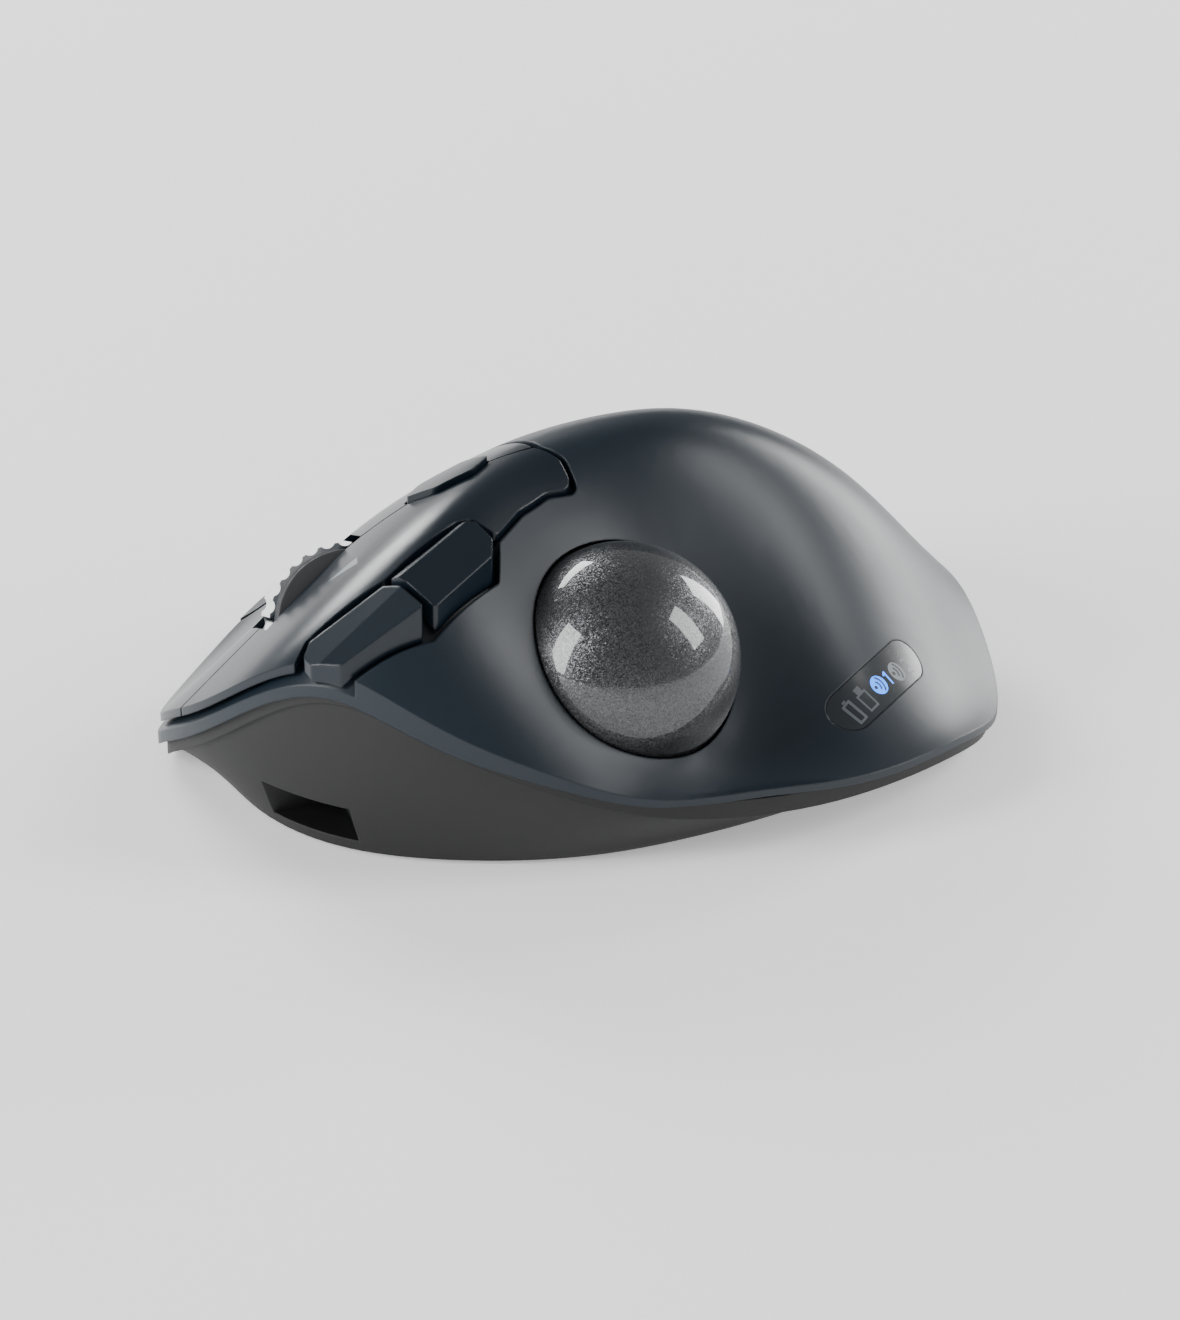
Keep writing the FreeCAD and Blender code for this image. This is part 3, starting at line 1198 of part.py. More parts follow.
CHIPS = ((16.0, 20.0, 7.0, 7.0, 0.9), (9.0, 14.0, 5.0, 5.0, 0.8), (22.5, 5.0, 6.0, 3.0, 1.6))
chips = []
for i, (x, y, length, width, height) in enumerate(CHIPS):
    chips.append(box(f"chip_{i + 1}", f"{length}", f"{width}", f"{height}",
                     Vector(x * ACROSS - length / 2, y * ALONG - width / 2, MAIN_BOARD_Z + BOARD_WALL)))
keep(grouped("board_chips", chips), "board_chips")

port_y = PORT_BACK * ALONG
charge_board = new_body("charge_board", Placement(Vector(PORT_X * ACROSS, port_y, FLOOR_TOP), Rotation()))
charge_sketch = new_sketch(charge_board, "XY_Plane", "charge_board_outline")
draw_rectangle(charge_sketch, "9.6", "10", "1.4", "-8.6")
pad(charge_board, charge_sketch, "charge_board_pad", f"{PORT_BOARD_WALL}")

charge_port = new_body("charge_port", Placement(
    Vector(PORT_X * ACROSS, port_y - 0.2 - size("port_depth"), PORT_Z), Rotation(Vector(1, 0, 0), 90)))


def draw_stadium(sketch, width, height):
    """Slot outline lying along X, with bound width and height."""
    radius = size(height) / 2
    reach = size(width) / 2 - radius
    upper = sketch.addGeometry(Part.LineSegment(Vector(reach, radius, 0), Vector(-reach, radius, 0)), False)
    lower = sketch.addGeometry(Part.LineSegment(Vector(-reach, -radius, 0), Vector(reach, -radius, 0)), False)
    turn = math.pi / 2
    right_end = Part.ArcOfCircle(Part.Circle(Vector(reach, 0, 0), UPRIGHT, radius), -turn, turn)
    left_end = Part.ArcOfCircle(Part.Circle(Vector(-reach, 0, 0), UPRIGHT, radius), turn, 3 * turn)
    sketch.addGeometry(right_end, False)
    sketch.addGeometry(left_end, False)
    return upper, lower


port_outline = new_sketch(charge_port, "XY_Plane", "port_outline")
draw_stadium(port_outline, "port_width", "port_height")
pad(charge_port, port_outline, "port_shell", "Sizes.port_depth", backward=True)
PORT_SHEET = 0.3
mouth = new_sketch(charge_port, "XY_Plane", "port_mouth")
mouth.AttachmentOffset = Placement(Vector(0, 0, -size("port_depth")), Rotation())
draw_rectangle(mouth, f"Sizes.port_width - {2 * PORT_SHEET + 1.2}", f"Sizes.port_height - {2 * PORT_SHEET}")
pocket(charge_port, mouth, "port_mouth_pocket", "Sizes.port_depth - 1", backward=True)
tongue = new_sketch(charge_port, "XY_Plane", "port_tongue", "0")
draw_rectangle(tongue, "6.2", "0.7")
pad(charge_port, tongue, "port_tongue_pad", "Sizes.port_depth - 0.8", backward=True)

battery = new_body("battery", Placement(Vector(3.5 * ACROSS, -24.3 * ALONG, FLOOR_TOP), Rotation()))
cell = new_sketch(battery, "XY_Plane", "cell_outline")
draw_rectangle(cell, "Sizes.battery_width", "Sizes.battery_length")
cell_pad = pad(battery, cell, "cell_pad", "Sizes.battery_height")
doc.recompute()
soft_edges = battery.newObject("PartDesign::Fillet", "cell_edges")
corner_edges = [f"Edge{i + 1}" for i, edge in enumerate(battery.Shape.Edges)
                if edge.BoundBox.ZLength > 1.0]
soft_edges.Base = (cell_pad, corner_edges)
soft_edges.Radius = 1.6
battery.Tip = soft_edges

# ---------------------------------------------------------------- underside controls
slider_x, slider_y = POWER_SWITCH[0] * ACROSS, POWER_SWITCH[1] * ALONG
slider_foot = box("slider_foot", "11.7", "5.4", "1",
                  Vector(slider_x - 6.7, slider_y - 2.7, FLOOR_TOP + 0.3))
slider_knob = box("slider_knob", "3.8", "2.6", "2.4",
                  Vector(slider_x - 3.9, slider_y - 1.3, size("foot_rise") + 0.3))
keep(joined("power_switch", [slider_foot, slider_knob]), "power_switch")

pair_x, pair_y = PAIRING_BUTTON[0] * ACROSS, PAIRING_BUTTON[1] * ALONG
pair_cap = cylinder("pair_cap", "2", "2.5", Vector(pair_x, pair_y, size("foot_rise") + 0.2))
pair_flange = cylinder("pair_flange", "2.9", "0.6", Vector(pair_x, pair_y, FLOOR_TOP + 0.3))
keep(joined("pairing_button", [pair_cap, pair_flange]), "pairing_button")
pair_switch = box("pair_switch", "5", "5", "1",
                  Vector(pair_x - 2.5, pair_y - 2.5, MAIN_BOARD_Z - 1.0))
slide_switch = box("slide_switch", "7", "4", "1",
                   Vector(slider_x - 3.5, slider_y - 2.0, MAIN_BOARD_Z - 1.0))
keep(grouped("underside_switches", [pair_switch, slide_switch]), "underside_switches")

# ---------------------------------------------------------------- pins, screws and feet
for label, place in (("left_hinge_pin", LEFT_HINGE), ("right_hinge_pin", RIGHT_HINGE)):
    pin = cylinder(label, "Sizes.pin_diameter / 2", f"{2 * PIN_HALF}",
                   hinge_point(place) - Vector(PIN_HALF, 0, 0), Vector(1, 0, 0))
    keep(pin, label)

screws = []
for i, (x, y) in enumerate(CASE_SCREWS):
    centre = Vector(x * ACROSS, y * ALONG, HEAD_SEAT - HEAD_HEIGHT)
    head = cylinder(f"case_head_{i + 1}", "Sizes.screw_head / 2", f"{HEAD_HEIGHT}", centre)
    shank = cylinder(f"case_shank_{i + 1}", "Sizes.screw_diameter / 2",
                     f"{SHANK_TOP - HEAD_SEAT + HEAD_HEIGHT}", centre)
    drive = primitive("Part::Prism", f"case_drive_{i + 1}", {}, Placement(centre, Rotation()))
    drive.Polygon = 6
    drive.Circumradius = 1.1
    drive.Height = 0.9
    screws.append(less(f"case_screw_{i + 1}", joined(f"case_blank_{i + 1}", [head, shank]), drive))
keep(grouped("case_screws", screws), "case_screws")


def small_screw(name, frame, x, y, seat, up):
    """Board screw: its head on the seat, its shank going up or down from there."""
    head_z = seat - 1.1 if up > 0 else seat
    shank_z = seat if up > 0 else seat - 3.4
    head = cylinder(name + "_head", "1.7", "1.1", Vector(x, y, head_z))
    shank = cylinder(name + "_shank", f"{SMALL_SHANK}", "3.4", Vector(x, y, shank_z))
    screw = joined(name, [head, shank])
    screw.Placement = frame
    return screw


small = []
for i, (x, y) in enumerate(BOARD_SCREWS):
    small.append(small_screw(f"deck_screw_{i + 1}", DECK_FRAME, x, y, BOARD_TOP - BOARD_WALL, 1))
for i, place in enumerate(SIDE_POSTS):
    small.append(small_screw(f"side_screw_{i + 1}", SIDE_FRAME, place.x, place.y, -1.2, 1))
for i, (x, y) in enumerate(MAIN_POSTS):
    small.append(small_screw(f"main_screw_{i + 1}", Placement(), x * ACROSS, y * ALONG,
                             MAIN_BOARD_Z + BOARD_WALL, -1))
keep(grouped("board_screws", small), "board_screws")

feet = []
for i, (x, y) in enumerate(FEET):
    pad_blank = cylinder(f"foot_{i + 1}", "Sizes.foot_radius", "Sizes.foot_rise + Sizes.foot_sink",
                         Vector(x * ACROSS, y * ALONG, 0))
    feet.append(rounded_edges(f"foot_round_{i + 1}", pad_blank, 0.3,
                              lambda edge: edge.BoundBox.ZMax < 0.01 and edge.Closed))
keep(grouped("rubber_feet", feet), "rubber_feet")

# ---------------------------------------------------------------- check and write
doc.recompute()
for obj in doc.Objects:
    if "Invalid" in obj.State or "Error" in obj.State:
        raise RuntimeError(f"{obj.Label} failed: {obj.State}")
os.makedirs("parts", exist_ok=True)
for piece in PIECES:
    shape = piece.Shape
    if shape.isNull() or not shape.isValid() or not shape.Solids:
        raise RuntimeError(f"{piece.Label} has no valid solid")
    print(f"{piece.Label}: {len(shape.Solids)} solid(s), {shape.Volume:.0f} mm3")
    shape.exportStep(f"parts/{piece.Label}.step")
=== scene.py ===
# %% [markdown]
# # A thumb-ball mouse, dressed and lit
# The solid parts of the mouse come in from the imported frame, each one already in its place.
# This lesson gives every part the surface of its real material, prints the small marks on the
# keys and the status window, and lights the whole as in a product studio.

# %% Load the frame
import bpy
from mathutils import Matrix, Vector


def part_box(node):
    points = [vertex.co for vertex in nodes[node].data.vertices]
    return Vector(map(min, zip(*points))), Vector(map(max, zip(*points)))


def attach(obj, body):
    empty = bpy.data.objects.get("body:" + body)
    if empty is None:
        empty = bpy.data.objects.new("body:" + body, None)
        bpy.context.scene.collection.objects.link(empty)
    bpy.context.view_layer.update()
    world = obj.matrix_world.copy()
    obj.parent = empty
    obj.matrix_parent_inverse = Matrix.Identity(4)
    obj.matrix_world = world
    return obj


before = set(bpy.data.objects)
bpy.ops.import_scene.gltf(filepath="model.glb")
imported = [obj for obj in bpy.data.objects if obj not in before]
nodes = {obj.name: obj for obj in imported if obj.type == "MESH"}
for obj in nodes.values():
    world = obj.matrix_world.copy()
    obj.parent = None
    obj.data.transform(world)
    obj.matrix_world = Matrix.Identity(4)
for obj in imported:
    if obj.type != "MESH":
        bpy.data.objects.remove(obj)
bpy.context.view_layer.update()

# %% Modules and units
import math

import bmesh
import bpy
import numpy as np
from mathutils import Matrix, Vector

MM = 0.001

# %% [markdown]
# ## Colours and nodes
# Colours are written as the familiar hex values of a paint chart.  Blender's shaders want linear
# light, so one function turns one into the other.  A second small function adds a shader node
# with its settings and its links in one line, which keeps each recipe short enough to read.

# %% Helpers for materials
def hex_colour(code):
    """sRGB hex value as linear red, green, blue and alpha."""
    channels = [int(code[i:i + 2], 16) / 255 for i in (1, 3, 5)]
    linear = [c / 12.92 if c <= 0.04045 else ((c + 0.055) / 1.055) ** 2.4 for c in channels]
    return (*linear, 1.0)


def new_material(name, colour, roughness, **settings):
    """Principled material; the settings are the names of its sockets with _ for a space."""
    material = bpy.data.materials.new(name)
    material.use_nodes = True
    shader = material.node_tree.nodes["Principled BSDF"]
    shader.inputs["Base Color"].default_value = hex_colour(colour)
    shader.inputs["Roughness"].default_value = roughness
    for setting, value in settings.items():
        shader.inputs[setting.replace("_", " ")].default_value = value
    return material


def add_node(material, kind, settings=None, links=None, **properties):
    """Adds a node; links maps an input's name to the socket that feeds it."""
    tree = material.node_tree
    node = tree.nodes.new(kind)
    for prop, value in properties.items():
        setattr(node, prop, value)
    for name, value in (settings or {}).items():
        node.inputs[name].default_value = value
    for name, source in (links or {}).items():
        tree.links.new(source, node.inputs[name])
    return node


def shader_of(material):
    return material.node_tree.nodes["Principled BSDF"]


def feed(material, socket, source):
    material.node_tree.links.new(source, shader_of(material).inputs[socket])


def object_place(material):
    """The point being shaded, in metres from the origin."""
    return add_node(material, "ShaderNodeTexCoord").outputs["Object"]


print("pure red is", hex_colour("#ff0000"))

# %% [markdown]
# ## Moulded plastic
# The covers and keys are ABS, moulded in a tool that was spark-eroded, so the surface is a field
# of fine pits a few tenths of a millimetre across.  The pits scatter the light into one broad soft
# highlight.  Noise at that grain size drives a shallow bump, a slower noise shifts the gloss a
# little where hands polish it, and a Bevel node softens the light on every edge as the tool's
# small radius does.

# %% Recipe for moulded plastic
def moulded_plastic(name, colour, roughness, grain_mm=0.25, depth_mm=0.004, edge_mm=0.35,
                    **settings):
    material = new_material(name, colour, roughness, **settings)
    place = object_place(material)
    grain = add_node(material, "ShaderNodeTexNoise",
                     {"Scale": 1 / (grain_mm * MM), "Detail": 2.0}, {"Vector": place})
    wear = add_node(material, "ShaderNodeTexNoise",
                    {"Scale": 1 / (18 * MM), "Detail": 3.0}, {"Vector": place})
    gloss = add_node(material, "ShaderNodeMapRange",
                     {"To Min": roughness - 0.03, "To Max": roughness + 0.04},
                     {"Value": wear.outputs["Fac"]})
    edges = add_node(material, "ShaderNodeBevel", {"Radius": edge_mm * MM}, samples=4)
    bump = add_node(material, "ShaderNodeBump", {"Strength": 0.6, "Distance": depth_mm * MM},
                    {"Height": grain.outputs["Fac"], "Normal": edges.outputs["Normal"]})
    feed(material, "Roughness", gloss.outputs["Result"])
    feed(material, "Normal", bump.outputs["Normal"])
    return material


# Soft-touch slate paint over ABS: dark blue-grey, satin, one broad highlight.
slate_paint = moulded_plastic("slate_satin_paint_on_abs", "#17222b", 0.38, IOR=1.46)
# The keys wear the same paint, rubbed a little glossier by the fingers.
key_paint = moulded_plastic("slate_satin_paint_on_keys", "#121d26", 0.28, IOR=1.46)
# Bare charcoal ABS with a coarser spark texture: dull and even.
charcoal_abs = moulded_plastic("charcoal_textured_abs", "#101011", 0.55, 0.35, 0.006)
# Black nylon of the inner frames, never painted.
black_nylon = moulded_plastic("black_moulded_nylon", "#17181a", 0.45, 0.3, 0.003)
# Dark side discs of the wheel: fine matte ABS.
wheel_side_abs = moulded_plastic("matte_grey_abs", "#4b4c4e", 0.55, 0.2, 0.005)
print("plastics:", [m.name for m in (slate_paint, key_paint, charcoal_abs, black_nylon)])

# %% [markdown]
# ## The ball
# The ball is phenolic resin with tiny metal flakes under a polished clear coat.  Each flake lies
# at its own small angle, so round a reflected lamp some flash and others stay dark.  Voronoi cells
# stand for the flakes: a cell's random colour tips the surface normal, and the clear coat above
# keeps its own smooth normal.  Real flakes are under 0.1 mm, and 0.16 mm is as fine as shows.

# %% Flaked resin
FLAKE_MM = 0.16
FLAKE_TILT = 0.35      # how far a flake may tip the surface, where 0 is flat
flaked_resin = new_material("flaked_resin_clear_coated", "#4a4b4e", 0.34, Metallic=0.6,
                            Coat_Weight=1.0, Coat_Roughness=0.04, Coat_IOR=1.5)
place = object_place(flaked_resin)
flakes = add_node(flaked_resin, "ShaderNodeTexVoronoi", {"Scale": 1 / (FLAKE_MM * MM)},
                  {"Vector": place})
tilt = add_node(flaked_resin, "ShaderNodeVectorMath",
                {1: (0.5, 0.5, 0.5)}, {0: flakes.outputs["Color"]}, operation="SUBTRACT")
strength = add_node(flaked_resin, "ShaderNodeVectorMath", {"Scale": FLAKE_TILT},
                    {0: tilt.outputs["Vector"]}, operation="SCALE")
smooth = add_node(flaked_resin, "ShaderNodeNewGeometry")
tipped = add_node(flaked_resin, "ShaderNodeVectorMath", None,
                  {0: smooth.outputs["Normal"], 1: strength.outputs["Vector"]}, operation="ADD")
flake_normal = add_node(flaked_resin, "ShaderNodeVectorMath", None,
                        {0: tipped.outputs["Vector"]}, operation="NORMALIZE")
feed(flaked_resin, "Normal", flake_normal.outputs["Vector"])
shade = add_node(flaked_resin, "ShaderNodeValToRGB", None, {"Fac": flakes.outputs["Color"]})
shade.color_ramp.elements[0].color = hex_colour("#0e0f10")
shade.color_ramp.elements[1].color = hex_colour("#5c5e61")
feed(flaked_resin, "Base Color", shade.outputs["Color"])
print("flake size:", FLAKE_MM, "mm, tilt:", FLAKE_TILT)

# %% [markdown]
# ## Metals
# The wheel's tyre is chromed, so it has almost no grain and mirrors the lamps.  Pins and screws
# are drawn or stamped steel with fine scratches.  A stretched noise makes the scratches: long in
# one direction, a tenth of a millimetre across the other.

# %% Recipe for metals
def metal(name, colour, roughness, scratch_mm=0.1, spread=0.06):
    material = new_material(name, colour, roughness, Metallic=1.0)
    place = object_place(material)
    stretched = add_node(material, "ShaderNodeVectorMath", {1: (1.0, 0.08, 1.0)}, {0: place},
                         operation="MULTIPLY")
    scratches = add_node(material, "ShaderNodeTexNoise",
                         {"Scale": 1 / (scratch_mm * MM), "Detail": 2.0},
                         {"Vector": stretched.outputs["Vector"]})
    gloss = add_node(material, "ShaderNodeMapRange",
                     {"To Min": max(0.02, roughness - spread), "To Max": roughness + spread},
                     {"Value": scratches.outputs["Fac"]})
    feed(material, "Roughness", gloss.outputs["Result"])
    return material


# Bright chrome plate over moulded ABS.
chrome_plate = metal("bright_chrome_plate", "#f4f5f6", 0.16, 0.3, 0.03)
# Drawn steel of the pins and the axle.
drawn_steel = metal("drawn_steel", "#a9abad", 0.28)
# Black zinc plate on the screws: dark, slightly brushed.
black_zinc = metal("black_zinc_plated_steel", "#4b4c4e", 0.35)
# Stamped stainless shell of the receptacle.
stamped_steel = metal("stamped_stainless_steel", "#b4b5b7", 0.3)
print("metals:", [m.name for m in (chrome_plate, drawn_steel, black_zinc, stamped_steel)])

# %% [markdown]
# ## Window, boards and small parts
# The window is smoked acrylic, polished on top.  The boards are green glass-fibre laminate, whose
# weave of half-millimetre bundles shows faintly through the solder mask.  Chips are black epoxy,
# the bearings zirconia, the cell a foil pouch and the feet a slick black polymer.

# %% Small materials
# Smoked acrylic: almost black, with a soft polish on top.
smoked_acrylic = new_material("smoked_acrylic", "#24292d", 0.22, IOR=1.49, Coat_Weight=0.3,
                              Coat_Roughness=0.2)
haze = add_node(smoked_acrylic, "ShaderNodeTexNoise", {"Scale": 1 / (4 * MM)},
                {"Vector": object_place(smoked_acrylic)})
haze_range = add_node(smoked_acrylic, "ShaderNodeMapRange", {"To Min": 0.2, "To Max": 0.28},
                      {"Value": haze.outputs["Fac"]})
feed(smoked_acrylic, "Roughness", haze_range.outputs["Result"])

# Clear polycarbonate of the light guide and the sensor's lens.
clear_polycarbonate = new_material("clear_polycarbonate", "#e6eaec", 0.08, IOR=1.58,
                                   Transmission_Weight=0.9)
grain = add_node(clear_polycarbonate, "ShaderNodeTexNoise", {"Scale": 1 / (1.5 * MM)},
                 {"Vector": object_place(clear_polycarbonate)})
grain_range = add_node(clear_polycarbonate, "ShaderNodeMapRange", {"To Min": 0.05, "To Max": 0.12},
                       {"Value": grain.outputs["Fac"]})
feed(clear_polycarbonate, "Roughness", grain_range.outputs["Result"])

# Glass-fibre laminate under green solder mask: faint square weave.
WEAVE_MM = 0.5
green_laminate = new_material("green_masked_glass_laminate", "#1d5a35", 0.35)
weave = add_node(green_laminate, "ShaderNodeTexWave",
                 {"Scale": 0.3 / (WEAVE_MM * MM), "Distortion": 0.4},
                 {"Vector": object_place(green_laminate)}, wave_type="BANDS")
mask = add_node(green_laminate, "ShaderNodeValToRGB", None, {"Fac": weave.outputs["Fac"]})
mask.color_ramp.elements[0].color = hex_colour("#18502e")
mask.color_ramp.elements[1].color = hex_colour("#236a40")
feed(green_laminate, "Base Color", mask.outputs["Color"])

# Moulded epoxy of chips: black and slightly gritty.
black_epoxy = moulded_plastic("black_moulded_epoxy", "#1b1b1d", 0.5, 0.15, 0.004, 0.1)
# Zirconia bearing balls: white, dense and polished.
zirconia = moulded_plastic("polished_zirconia", "#e4e2dc", 0.12, 0.5, 0.0005, 0.1, IOR=2.1)
# Aluminium-polymer pouch of the cell: soft metallic grey with slow dents.
foil_pouch = moulded_plastic("aluminium_foil_pouch", "#9a9da1", 0.38, 4.0, 0.08, 0.5, Metallic=0.7)
# Slick polymer of the feet.
slick_polymer = moulded_plastic("slick_black_polymer", "#202123", 0.3, 0.4, 0.002)
# White lens of the lamps.
lamp_resin = moulded_plastic("white_lamp_resin", "#e9edf0", 0.3, 0.3, 0.001, 0.1)
print("small materials ready; weave of", WEAVE_MM, "mm")

# %% Which part is made of what
FINISHES = {
    slate_paint: ["top_cover"],
    key_paint: ["left_button", "right_button", "front_side_button", "back_side_button",
                "mode_button"],
    charcoal_abs: ["base_cover"],
    black_nylon: ["wheel_cradle", "wheel_encoder", "wheel_bracket", "ball_cup", "left_switch",
                  "right_switch", "middle_switch", "mode_switch", "side_switches",
                  "underside_switches", "power_switch", "pairing_button"],
    wheel_side_abs: ["wheel_hub", "wheel_cap"],
    flaked_resin: ["ball"],
    chrome_plate: ["wheel_ring"],
    drawn_steel: ["wheel_axle", "left_hinge_pin", "right_hinge_pin"],
    black_zinc: ["case_screws", "board_screws"],
    stamped_steel: ["charge_port"],
    smoked_acrylic: ["status_window"],
    clear_polycarbonate: ["light_guide", "sensor_lens"],
    green_laminate: ["switch_board", "side_board", "main_board", "charge_board", "sensor_board",
                     "led_board"],
    black_epoxy: ["board_chips", "optical_sensor"],
    zirconia: ["cup_bearings"],
    foil_pouch: ["battery"],
    slick_polymer: ["rubber_feet"],
    lamp_resin: ["status_leds"],
}
for material, names in FINISHES.items():
    for name in names:
        for slot in nodes[name].material_slots:
            slot.material = material
print("finished nodes:", sum(len(names) for names in FINISHES.values()), "of", len(nodes))

# %% [markdown]
# ## Printed marks
# The mark on the left plate is pad-printed, and the signs in the window are printed behind the
# lens and lit from below.  Each is a thin flat shape laid on its surface: the outline is filled,
# cut into small faces, and a Shrinkwrap modifier lays it on the curved part a hair above it.

# %% Frame of the window, from its own mesh
def surface_frame(node):
    """Middle of a plate-like part and its long, short and outward directions."""
    points = np.array([vertex.co for vertex in node.data.vertices])
    low_corner, high_corner = points.min(axis=0), points.max(axis=0)
    middle = (low_corner + high_corner) / 2
    axes = np.linalg.svd(points - points.mean(axis=0), full_matrices=False)[2]
    along, outward = Vector(axes[0]), Vector(axes[2])
    if along.y > 0:
        along.negate()
    if outward.z < 0:
        outward.negate()
    return Vector(middle), along, outward.cross(along), outward


window_middle, window_along, window_up, window_out = surface_frame(nodes["status_window"])
print("window runs along", [round(v, 2) for v in window_along])

# %% Lay a printed shape on a part
START_MM = 2.0          # the flat shape starts this far above the middle and is then laid on
LIFT_MM = 0.03          # thickness of the print
CUTS = 2                # cuts in each edge, so that the shape can follow a curve


def mark(name, node, middle, along, up, out, loops, material, lift=LIFT_MM):
    """Flat printed shape: loops of (along, up) points in mm, laid on a node."""
    mesh = bmesh.new()
    for loop in loops:
        corners = [mesh.verts.new(middle + along * (a * MM) + up * (b * MM)
                                  + out * (START_MM * MM)) for a, b in loop]
        mesh.faces.new(corners)
    bmesh.ops.triangulate(mesh, faces=mesh.faces)
    bmesh.ops.subdivide_edges(mesh, edges=mesh.edges, cuts=CUTS, use_grid_fill=True)
    data = bpy.data.meshes.new(name)
    mesh.to_mesh(data)
    mesh.free()
    piece = bpy.data.objects.new(name, data)
    bpy.context.collection.objects.link(piece)
    data.materials.append(material)
    wrap = piece.modifiers.new("lay_on", "SHRINKWRAP")
    wrap.target = nodes[node]
    wrap.wrap_method = "PROJECT"
    wrap.use_project_z = True
    wrap.use_negative_direction = True
    wrap.use_positive_direction = True
    wrap.offset = lift * MM
    return piece


print("prints are", LIFT_MM, "mm thick")

# %% Shapes of the signs
def disc(a, b, radius, count=32):
    return [(a + radius * math.cos(2 * math.pi * i / count),
             b + radius * math.sin(2 * math.pi * i / count)) for i in range(count)]


def bar(a0, b0, a1, b1, width):
    """Straight stroke between two points."""
    length = math.hypot(a1 - a0, b1 - b0)
    side_a, side_b = -(b1 - b0) / length * width / 2, (a1 - a0) / length * width / 2
    return [(a0 + side_a, b0 + side_b), (a0 - side_a, b0 - side_b),
            (a1 - side_a, b1 - side_b), (a1 + side_a, b1 + side_b)]


def ring_arc(a, b, radius, width, start, end, count=10):
    """Curved stroke between two angles in degrees."""
    outer = []
    inner = []
    for i in range(count + 1):
        angle = math.radians(start + (end - start) * i / count)
        outer.append((a + (radius + width / 2) * math.cos(angle),
                      b + (radius + width / 2) * math.sin(angle)))
        inner.append((a + (radius - width / 2) * math.cos(angle),
                      b + (radius - width / 2) * math.sin(angle)))
    return outer + inner[::-1]


def link_sign(a, b):
    """Two waves leaving a dot: the general sign of a radio link."""
    return [disc(a - 0.8, b, 0.3, 16), ring_arc(a - 0.8, b, 0.9, 0.3, -50, 50),
            ring_arc(a - 0.8, b, 1.6, 0.3, -50, 50)]


def numeral_one(a, b):
    return [bar(a, b - 1.1, a, b + 1.1, 0.32), bar(a - 0.55, b + 0.55, a, b + 1.0, 0.28)]


def numeral_two(a, b):
    return [ring_arc(a, b + 0.5, 0.55, 0.3, 170, -40),
            bar(a + 0.42, b + 0.12, a - 0.6, b - 0.95, 0.3),
            bar(a - 0.7, b - 1.0, a + 0.7, b - 1.0, 0.3)]


# %% Inks
# Pale grey, for the arrow and the unlit disc.
grey_ink = new_material("grey_printing_ink", "#7d8489", 0.5)
# Darker grey, for the two signs that stay faint behind the smoked lens.
dim_ink = new_material("dim_printing_ink", "#555b60", 0.5)
# Near black, for the signs drawn over a disc.
dark_ink = new_material("dark_printing_ink", "#15181b", 0.4)
INK_GRAIN_MM = 0.2
for ink in (grey_ink, dim_ink, dark_ink):
    speckle = add_node(ink, "ShaderNodeTexNoise", {"Scale": 1 / (INK_GRAIN_MM * MM)},
                       {"Vector": object_place(ink)})
    spread = add_node(ink, "ShaderNodeMapRange", {"To Min": 0.4, "To Max": 0.6},
                      {"Value": speckle.outputs["Fac"]})
    feed(ink, "Roughness", spread.outputs["Result"])
# Lit sign: blue lamp light coming through the print.
blue_light = new_material("blue_lit_ink", "#2f8ff0", 0.4, Emission_Color=hex_colour("#1f7dff"))
fall = add_node(blue_light, "ShaderNodeTexNoise", {"Scale": 1 / (2 * MM)},
                {"Vector": object_place(blue_light)})
fall_range = add_node(blue_light, "ShaderNodeMapRange", {"To Min": 1.7, "To Max": 2.7},
                      {"Value": fall.outputs["Fac"]})
feed(blue_light, "Emission Strength", fall_range.outputs["Result"])
print("inks:", [m.name for m in (grey_ink, dim_ink, dark_ink, blue_light)])

# %% Print the arrow on the left plate
# A small triangle beside the wheel points the way forward.
ARROW_MM = 4.4
ARROW_ACROSS_MM, ARROW_FORWARD_MM = -12.3, 39.8
plate_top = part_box("left_button")[1][2]
arrow_middle = Vector((ARROW_ACROSS_MM * MM, ARROW_FORWARD_MM * MM, plate_top))
forward = Vector((0.25, 0.97, 0))
sideways = Vector((0.97, -0.25, 0))
arrow = mark("arrow_mark", "left_button", arrow_middle, forward, sideways, Vector((0, 0, 1)),
             [[(-ARROW_MM / 2, -ARROW_MM / 3), (-ARROW_MM / 2, ARROW_MM / 3), (ARROW_MM / 2, 0)]],
             grey_ink)
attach(arrow, "left_plate")
print("arrow laid,", ARROW_MM, "mm long")

# %% Lay the signs in the window
BATTERY_AT, RECEIVER_AT, FIRST_AT, SECOND_AT = -7.0, -3.9, -0.2, 4.7
SIGN_RADIUS = 1.5
UNDER_MM, OVER_MM = 0.02, 0.04      # how far a disc and the sign on it stand off the lens
window_place = ("status_window", window_middle, window_along, window_up, window_out)


def window_mark(name, loops, material, lift=UNDER_MM):
    piece = mark(name, *window_place, loops, material, lift)
    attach(piece, "case")
    return piece


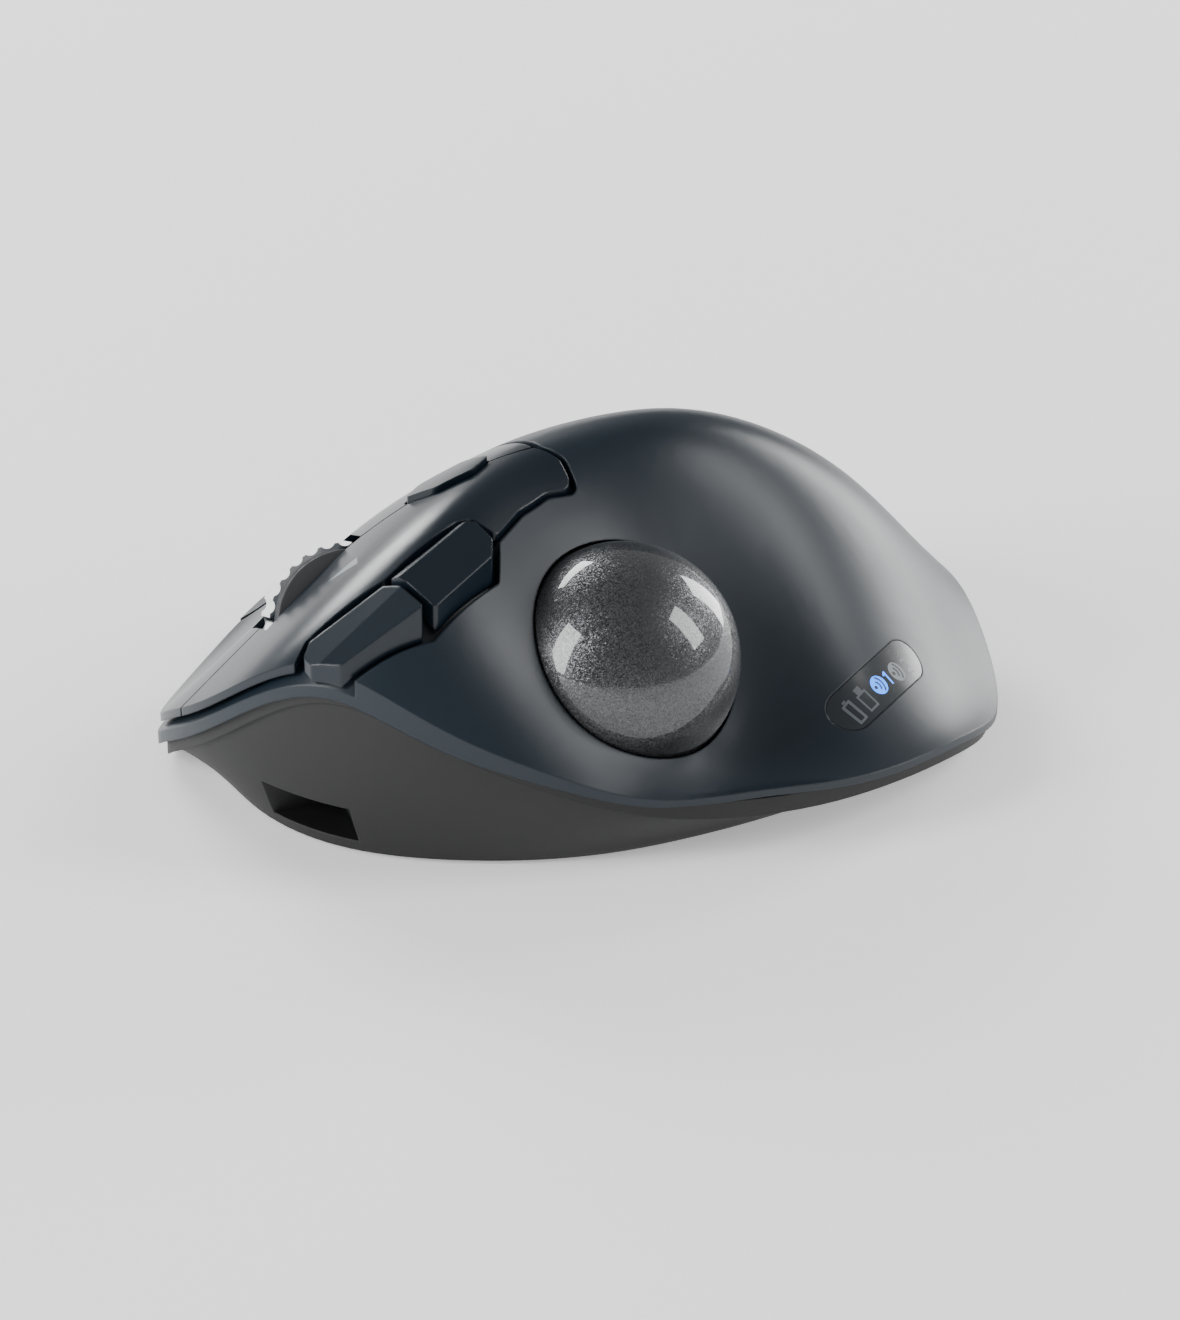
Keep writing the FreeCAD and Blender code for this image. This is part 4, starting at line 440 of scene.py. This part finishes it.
window_mark("battery_sign", [bar(BATTERY_AT - 0.7, -2.0, BATTERY_AT - 0.7, 1.6, 0.5),
                             bar(BATTERY_AT + 0.7, -2.0, BATTERY_AT + 0.7, 1.6, 0.5),
                             bar(BATTERY_AT - 0.9, 1.7, BATTERY_AT + 0.9, 1.7, 0.4),
                             bar(BATTERY_AT - 0.9, -2.0, BATTERY_AT + 0.9, -2.0, 0.4),
                             bar(BATTERY_AT - 0.35, 2.15, BATTERY_AT + 0.35, 2.15, 0.4)],
            dim_ink)
window_mark("receiver_sign", [bar(RECEIVER_AT - 0.9, -1.9, RECEIVER_AT - 0.9, 1.0, 0.35),
                              bar(RECEIVER_AT + 0.9, -1.9, RECEIVER_AT + 0.9, 1.0, 0.35),
                              bar(RECEIVER_AT - 1.05, -1.9, RECEIVER_AT + 1.05, -1.9, 0.35),
                              bar(RECEIVER_AT - 1.05, 1.0, RECEIVER_AT + 1.05, 1.0, 0.35),
                              bar(RECEIVER_AT, 1.1, RECEIVER_AT, 2.2, 1.2)],
            dim_ink)
window_mark("first_lamp", [disc(FIRST_AT, 0, SIGN_RADIUS)], blue_light)
window_mark("first_link_sign", link_sign(FIRST_AT, 0), dark_ink, OVER_MM)
window_mark("first_number", numeral_one(FIRST_AT + 2.5, 0), blue_light)
window_mark("second_lamp", [disc(SECOND_AT, 0, SIGN_RADIUS)], grey_ink)
window_mark("second_link_sign", link_sign(SECOND_AT, 0), dark_ink, OVER_MM)
window_mark("second_number", numeral_two(SECOND_AT + 2.7, 0), grey_ink)
print("window marks laid")

# %% [markdown]
# ## Floor
# The mouse stands on a wide sheet of matt paper, as on a product table.  A little light of its own
# stands for a sheet lit from below, which keeps the shadow under the mouse soft and pale.

# %% Floor
FLOOR_SIZE = 6.0
FLOOR_DROP_MM = 0.1     # the sheet lies this far under the feet, so that no faces coincide
FLOOR_GLOW = 0.4
bpy.ops.mesh.primitive_plane_add(size=FLOOR_SIZE, location=(0, 0, -FLOOR_DROP_MM * MM))
floor = bpy.context.object
floor.name = "studio_floor"
paper = new_material("pale_matt_paper", "#f8f8f8", 0.85,
                     Emission_Color=hex_colour("#ffffff"), Emission_Strength=FLOOR_GLOW)
fibre = add_node(paper, "ShaderNodeTexNoise", {"Scale": 1 / (60 * MM)},
                 {"Vector": object_place(paper)})
fibre_range = add_node(paper, "ShaderNodeMapRange", {"To Min": 0.82, "To Max": 0.88},
                       {"Value": fibre.outputs["Fac"]})
feed(paper, "Roughness", fibre_range.outputs["Result"])
floor.data.materials.append(paper)
print("floor of", FLOOR_SIZE, "m, made of", paper.name)

# %% [markdown]
# ## Camera
# The mouse is seen from its thumb side, a little from the front, with a long lens, so the lines
# stay calm.  The camera is placed by turning about a point inside the body, and a small lens shift
# sets the mouse above the middle of the view.

# %% Camera
TURN, RISE = math.radians(18), math.radians(26)
DISTANCE = 602.3 * MM
AIM = Vector((5.05, -0.49, 21.37)) * MM
back = Vector((-math.cos(TURN) * math.cos(RISE), math.sin(TURN) * math.cos(RISE), math.sin(RISE)))
right = Vector((-math.sin(TURN), -math.cos(TURN), 0))
upward = back.cross(right)
LENS_MM, SENSOR_MM = 109.2, 36
SHIFT = (0.0122, -0.0553)           # share of the sensor, sideways and upwards
camera_data = bpy.data.cameras.new("studio_camera")
camera_data.sensor_width = SENSOR_MM
camera_data.lens = LENS_MM
camera_data.shift_x, camera_data.shift_y = SHIFT
camera_data.clip_start = 0.01
camera = bpy.data.objects.new("studio_camera", camera_data)
camera.matrix_world = Matrix.LocRotScale(
    AIM + back * DISTANCE, Matrix((right, upward, back)).transposed().to_quaternion(), None)
bpy.context.collection.objects.link(camera)
bpy.context.scene.camera = camera
print("camera stands at", [round(v, 3) for v in camera.location])

# %% [markdown]
# ## Light
# Big soft boxes give a satin shell its long gentle highlights.  Two stand behind the mouse with a
# dark gap between them: one draws the light along the plates, the other along the right flank, and
# the crest between stays dark.  Two tall ones at the sides make the bright patches on the ball.
# An even pale sky fills the rest.

# %% Soft boxes
def soft_box(name, toward, distance, width, height, power):
    """Area lamp in a direction given by right, up and back of the camera, aimed at the mouse."""
    direction = (right * toward[0] + upward * toward[1] + back * toward[2]).normalized()
    lamp = bpy.data.lights.new(name, "AREA")
    lamp.shape = "RECTANGLE"
    lamp.size, lamp.size_y = width, height
    lamp.energy = power
    holder = bpy.data.objects.new(name, lamp)
    holder.location = AIM + direction * distance
    holder.rotation_euler = direction.to_track_quat("Z", "Y").to_euler()
    bpy.context.collection.objects.link(holder)


# Name: direction (right, up, back of the camera), distance, width, height in metres, watts.
SOFT_BOXES = {
    "back_left_box": ((-0.5, 0.72, -0.47), 1.3, 0.6, 0.5, 14),
    "back_right_box": ((0.72, 0.52, -0.52), 1.3, 0.4, 0.7, 11),
    "left_box": ((-0.85, 0.15, 0.5), 1.0, 0.36, 0.7, 11),
    "right_box": ((0.85, 0.42, 0.3), 1.0, 0.3, 0.6, 6),
}
for name, setting in SOFT_BOXES.items():
    soft_box(name, *setting)
print("lamps:", list(SOFT_BOXES))

# %% Sky
SKY_STRENGTH = 0.3
sky = bpy.data.worlds.new("pale_sky")
sky.use_nodes = True
background = sky.node_tree.nodes["Background"]
background.inputs["Color"].default_value = hex_colour("#f4f5f7")
background.inputs["Strength"].default_value = SKY_STRENGTH
bpy.context.scene.world = sky
print("sky strength:", SKY_STRENGTH)
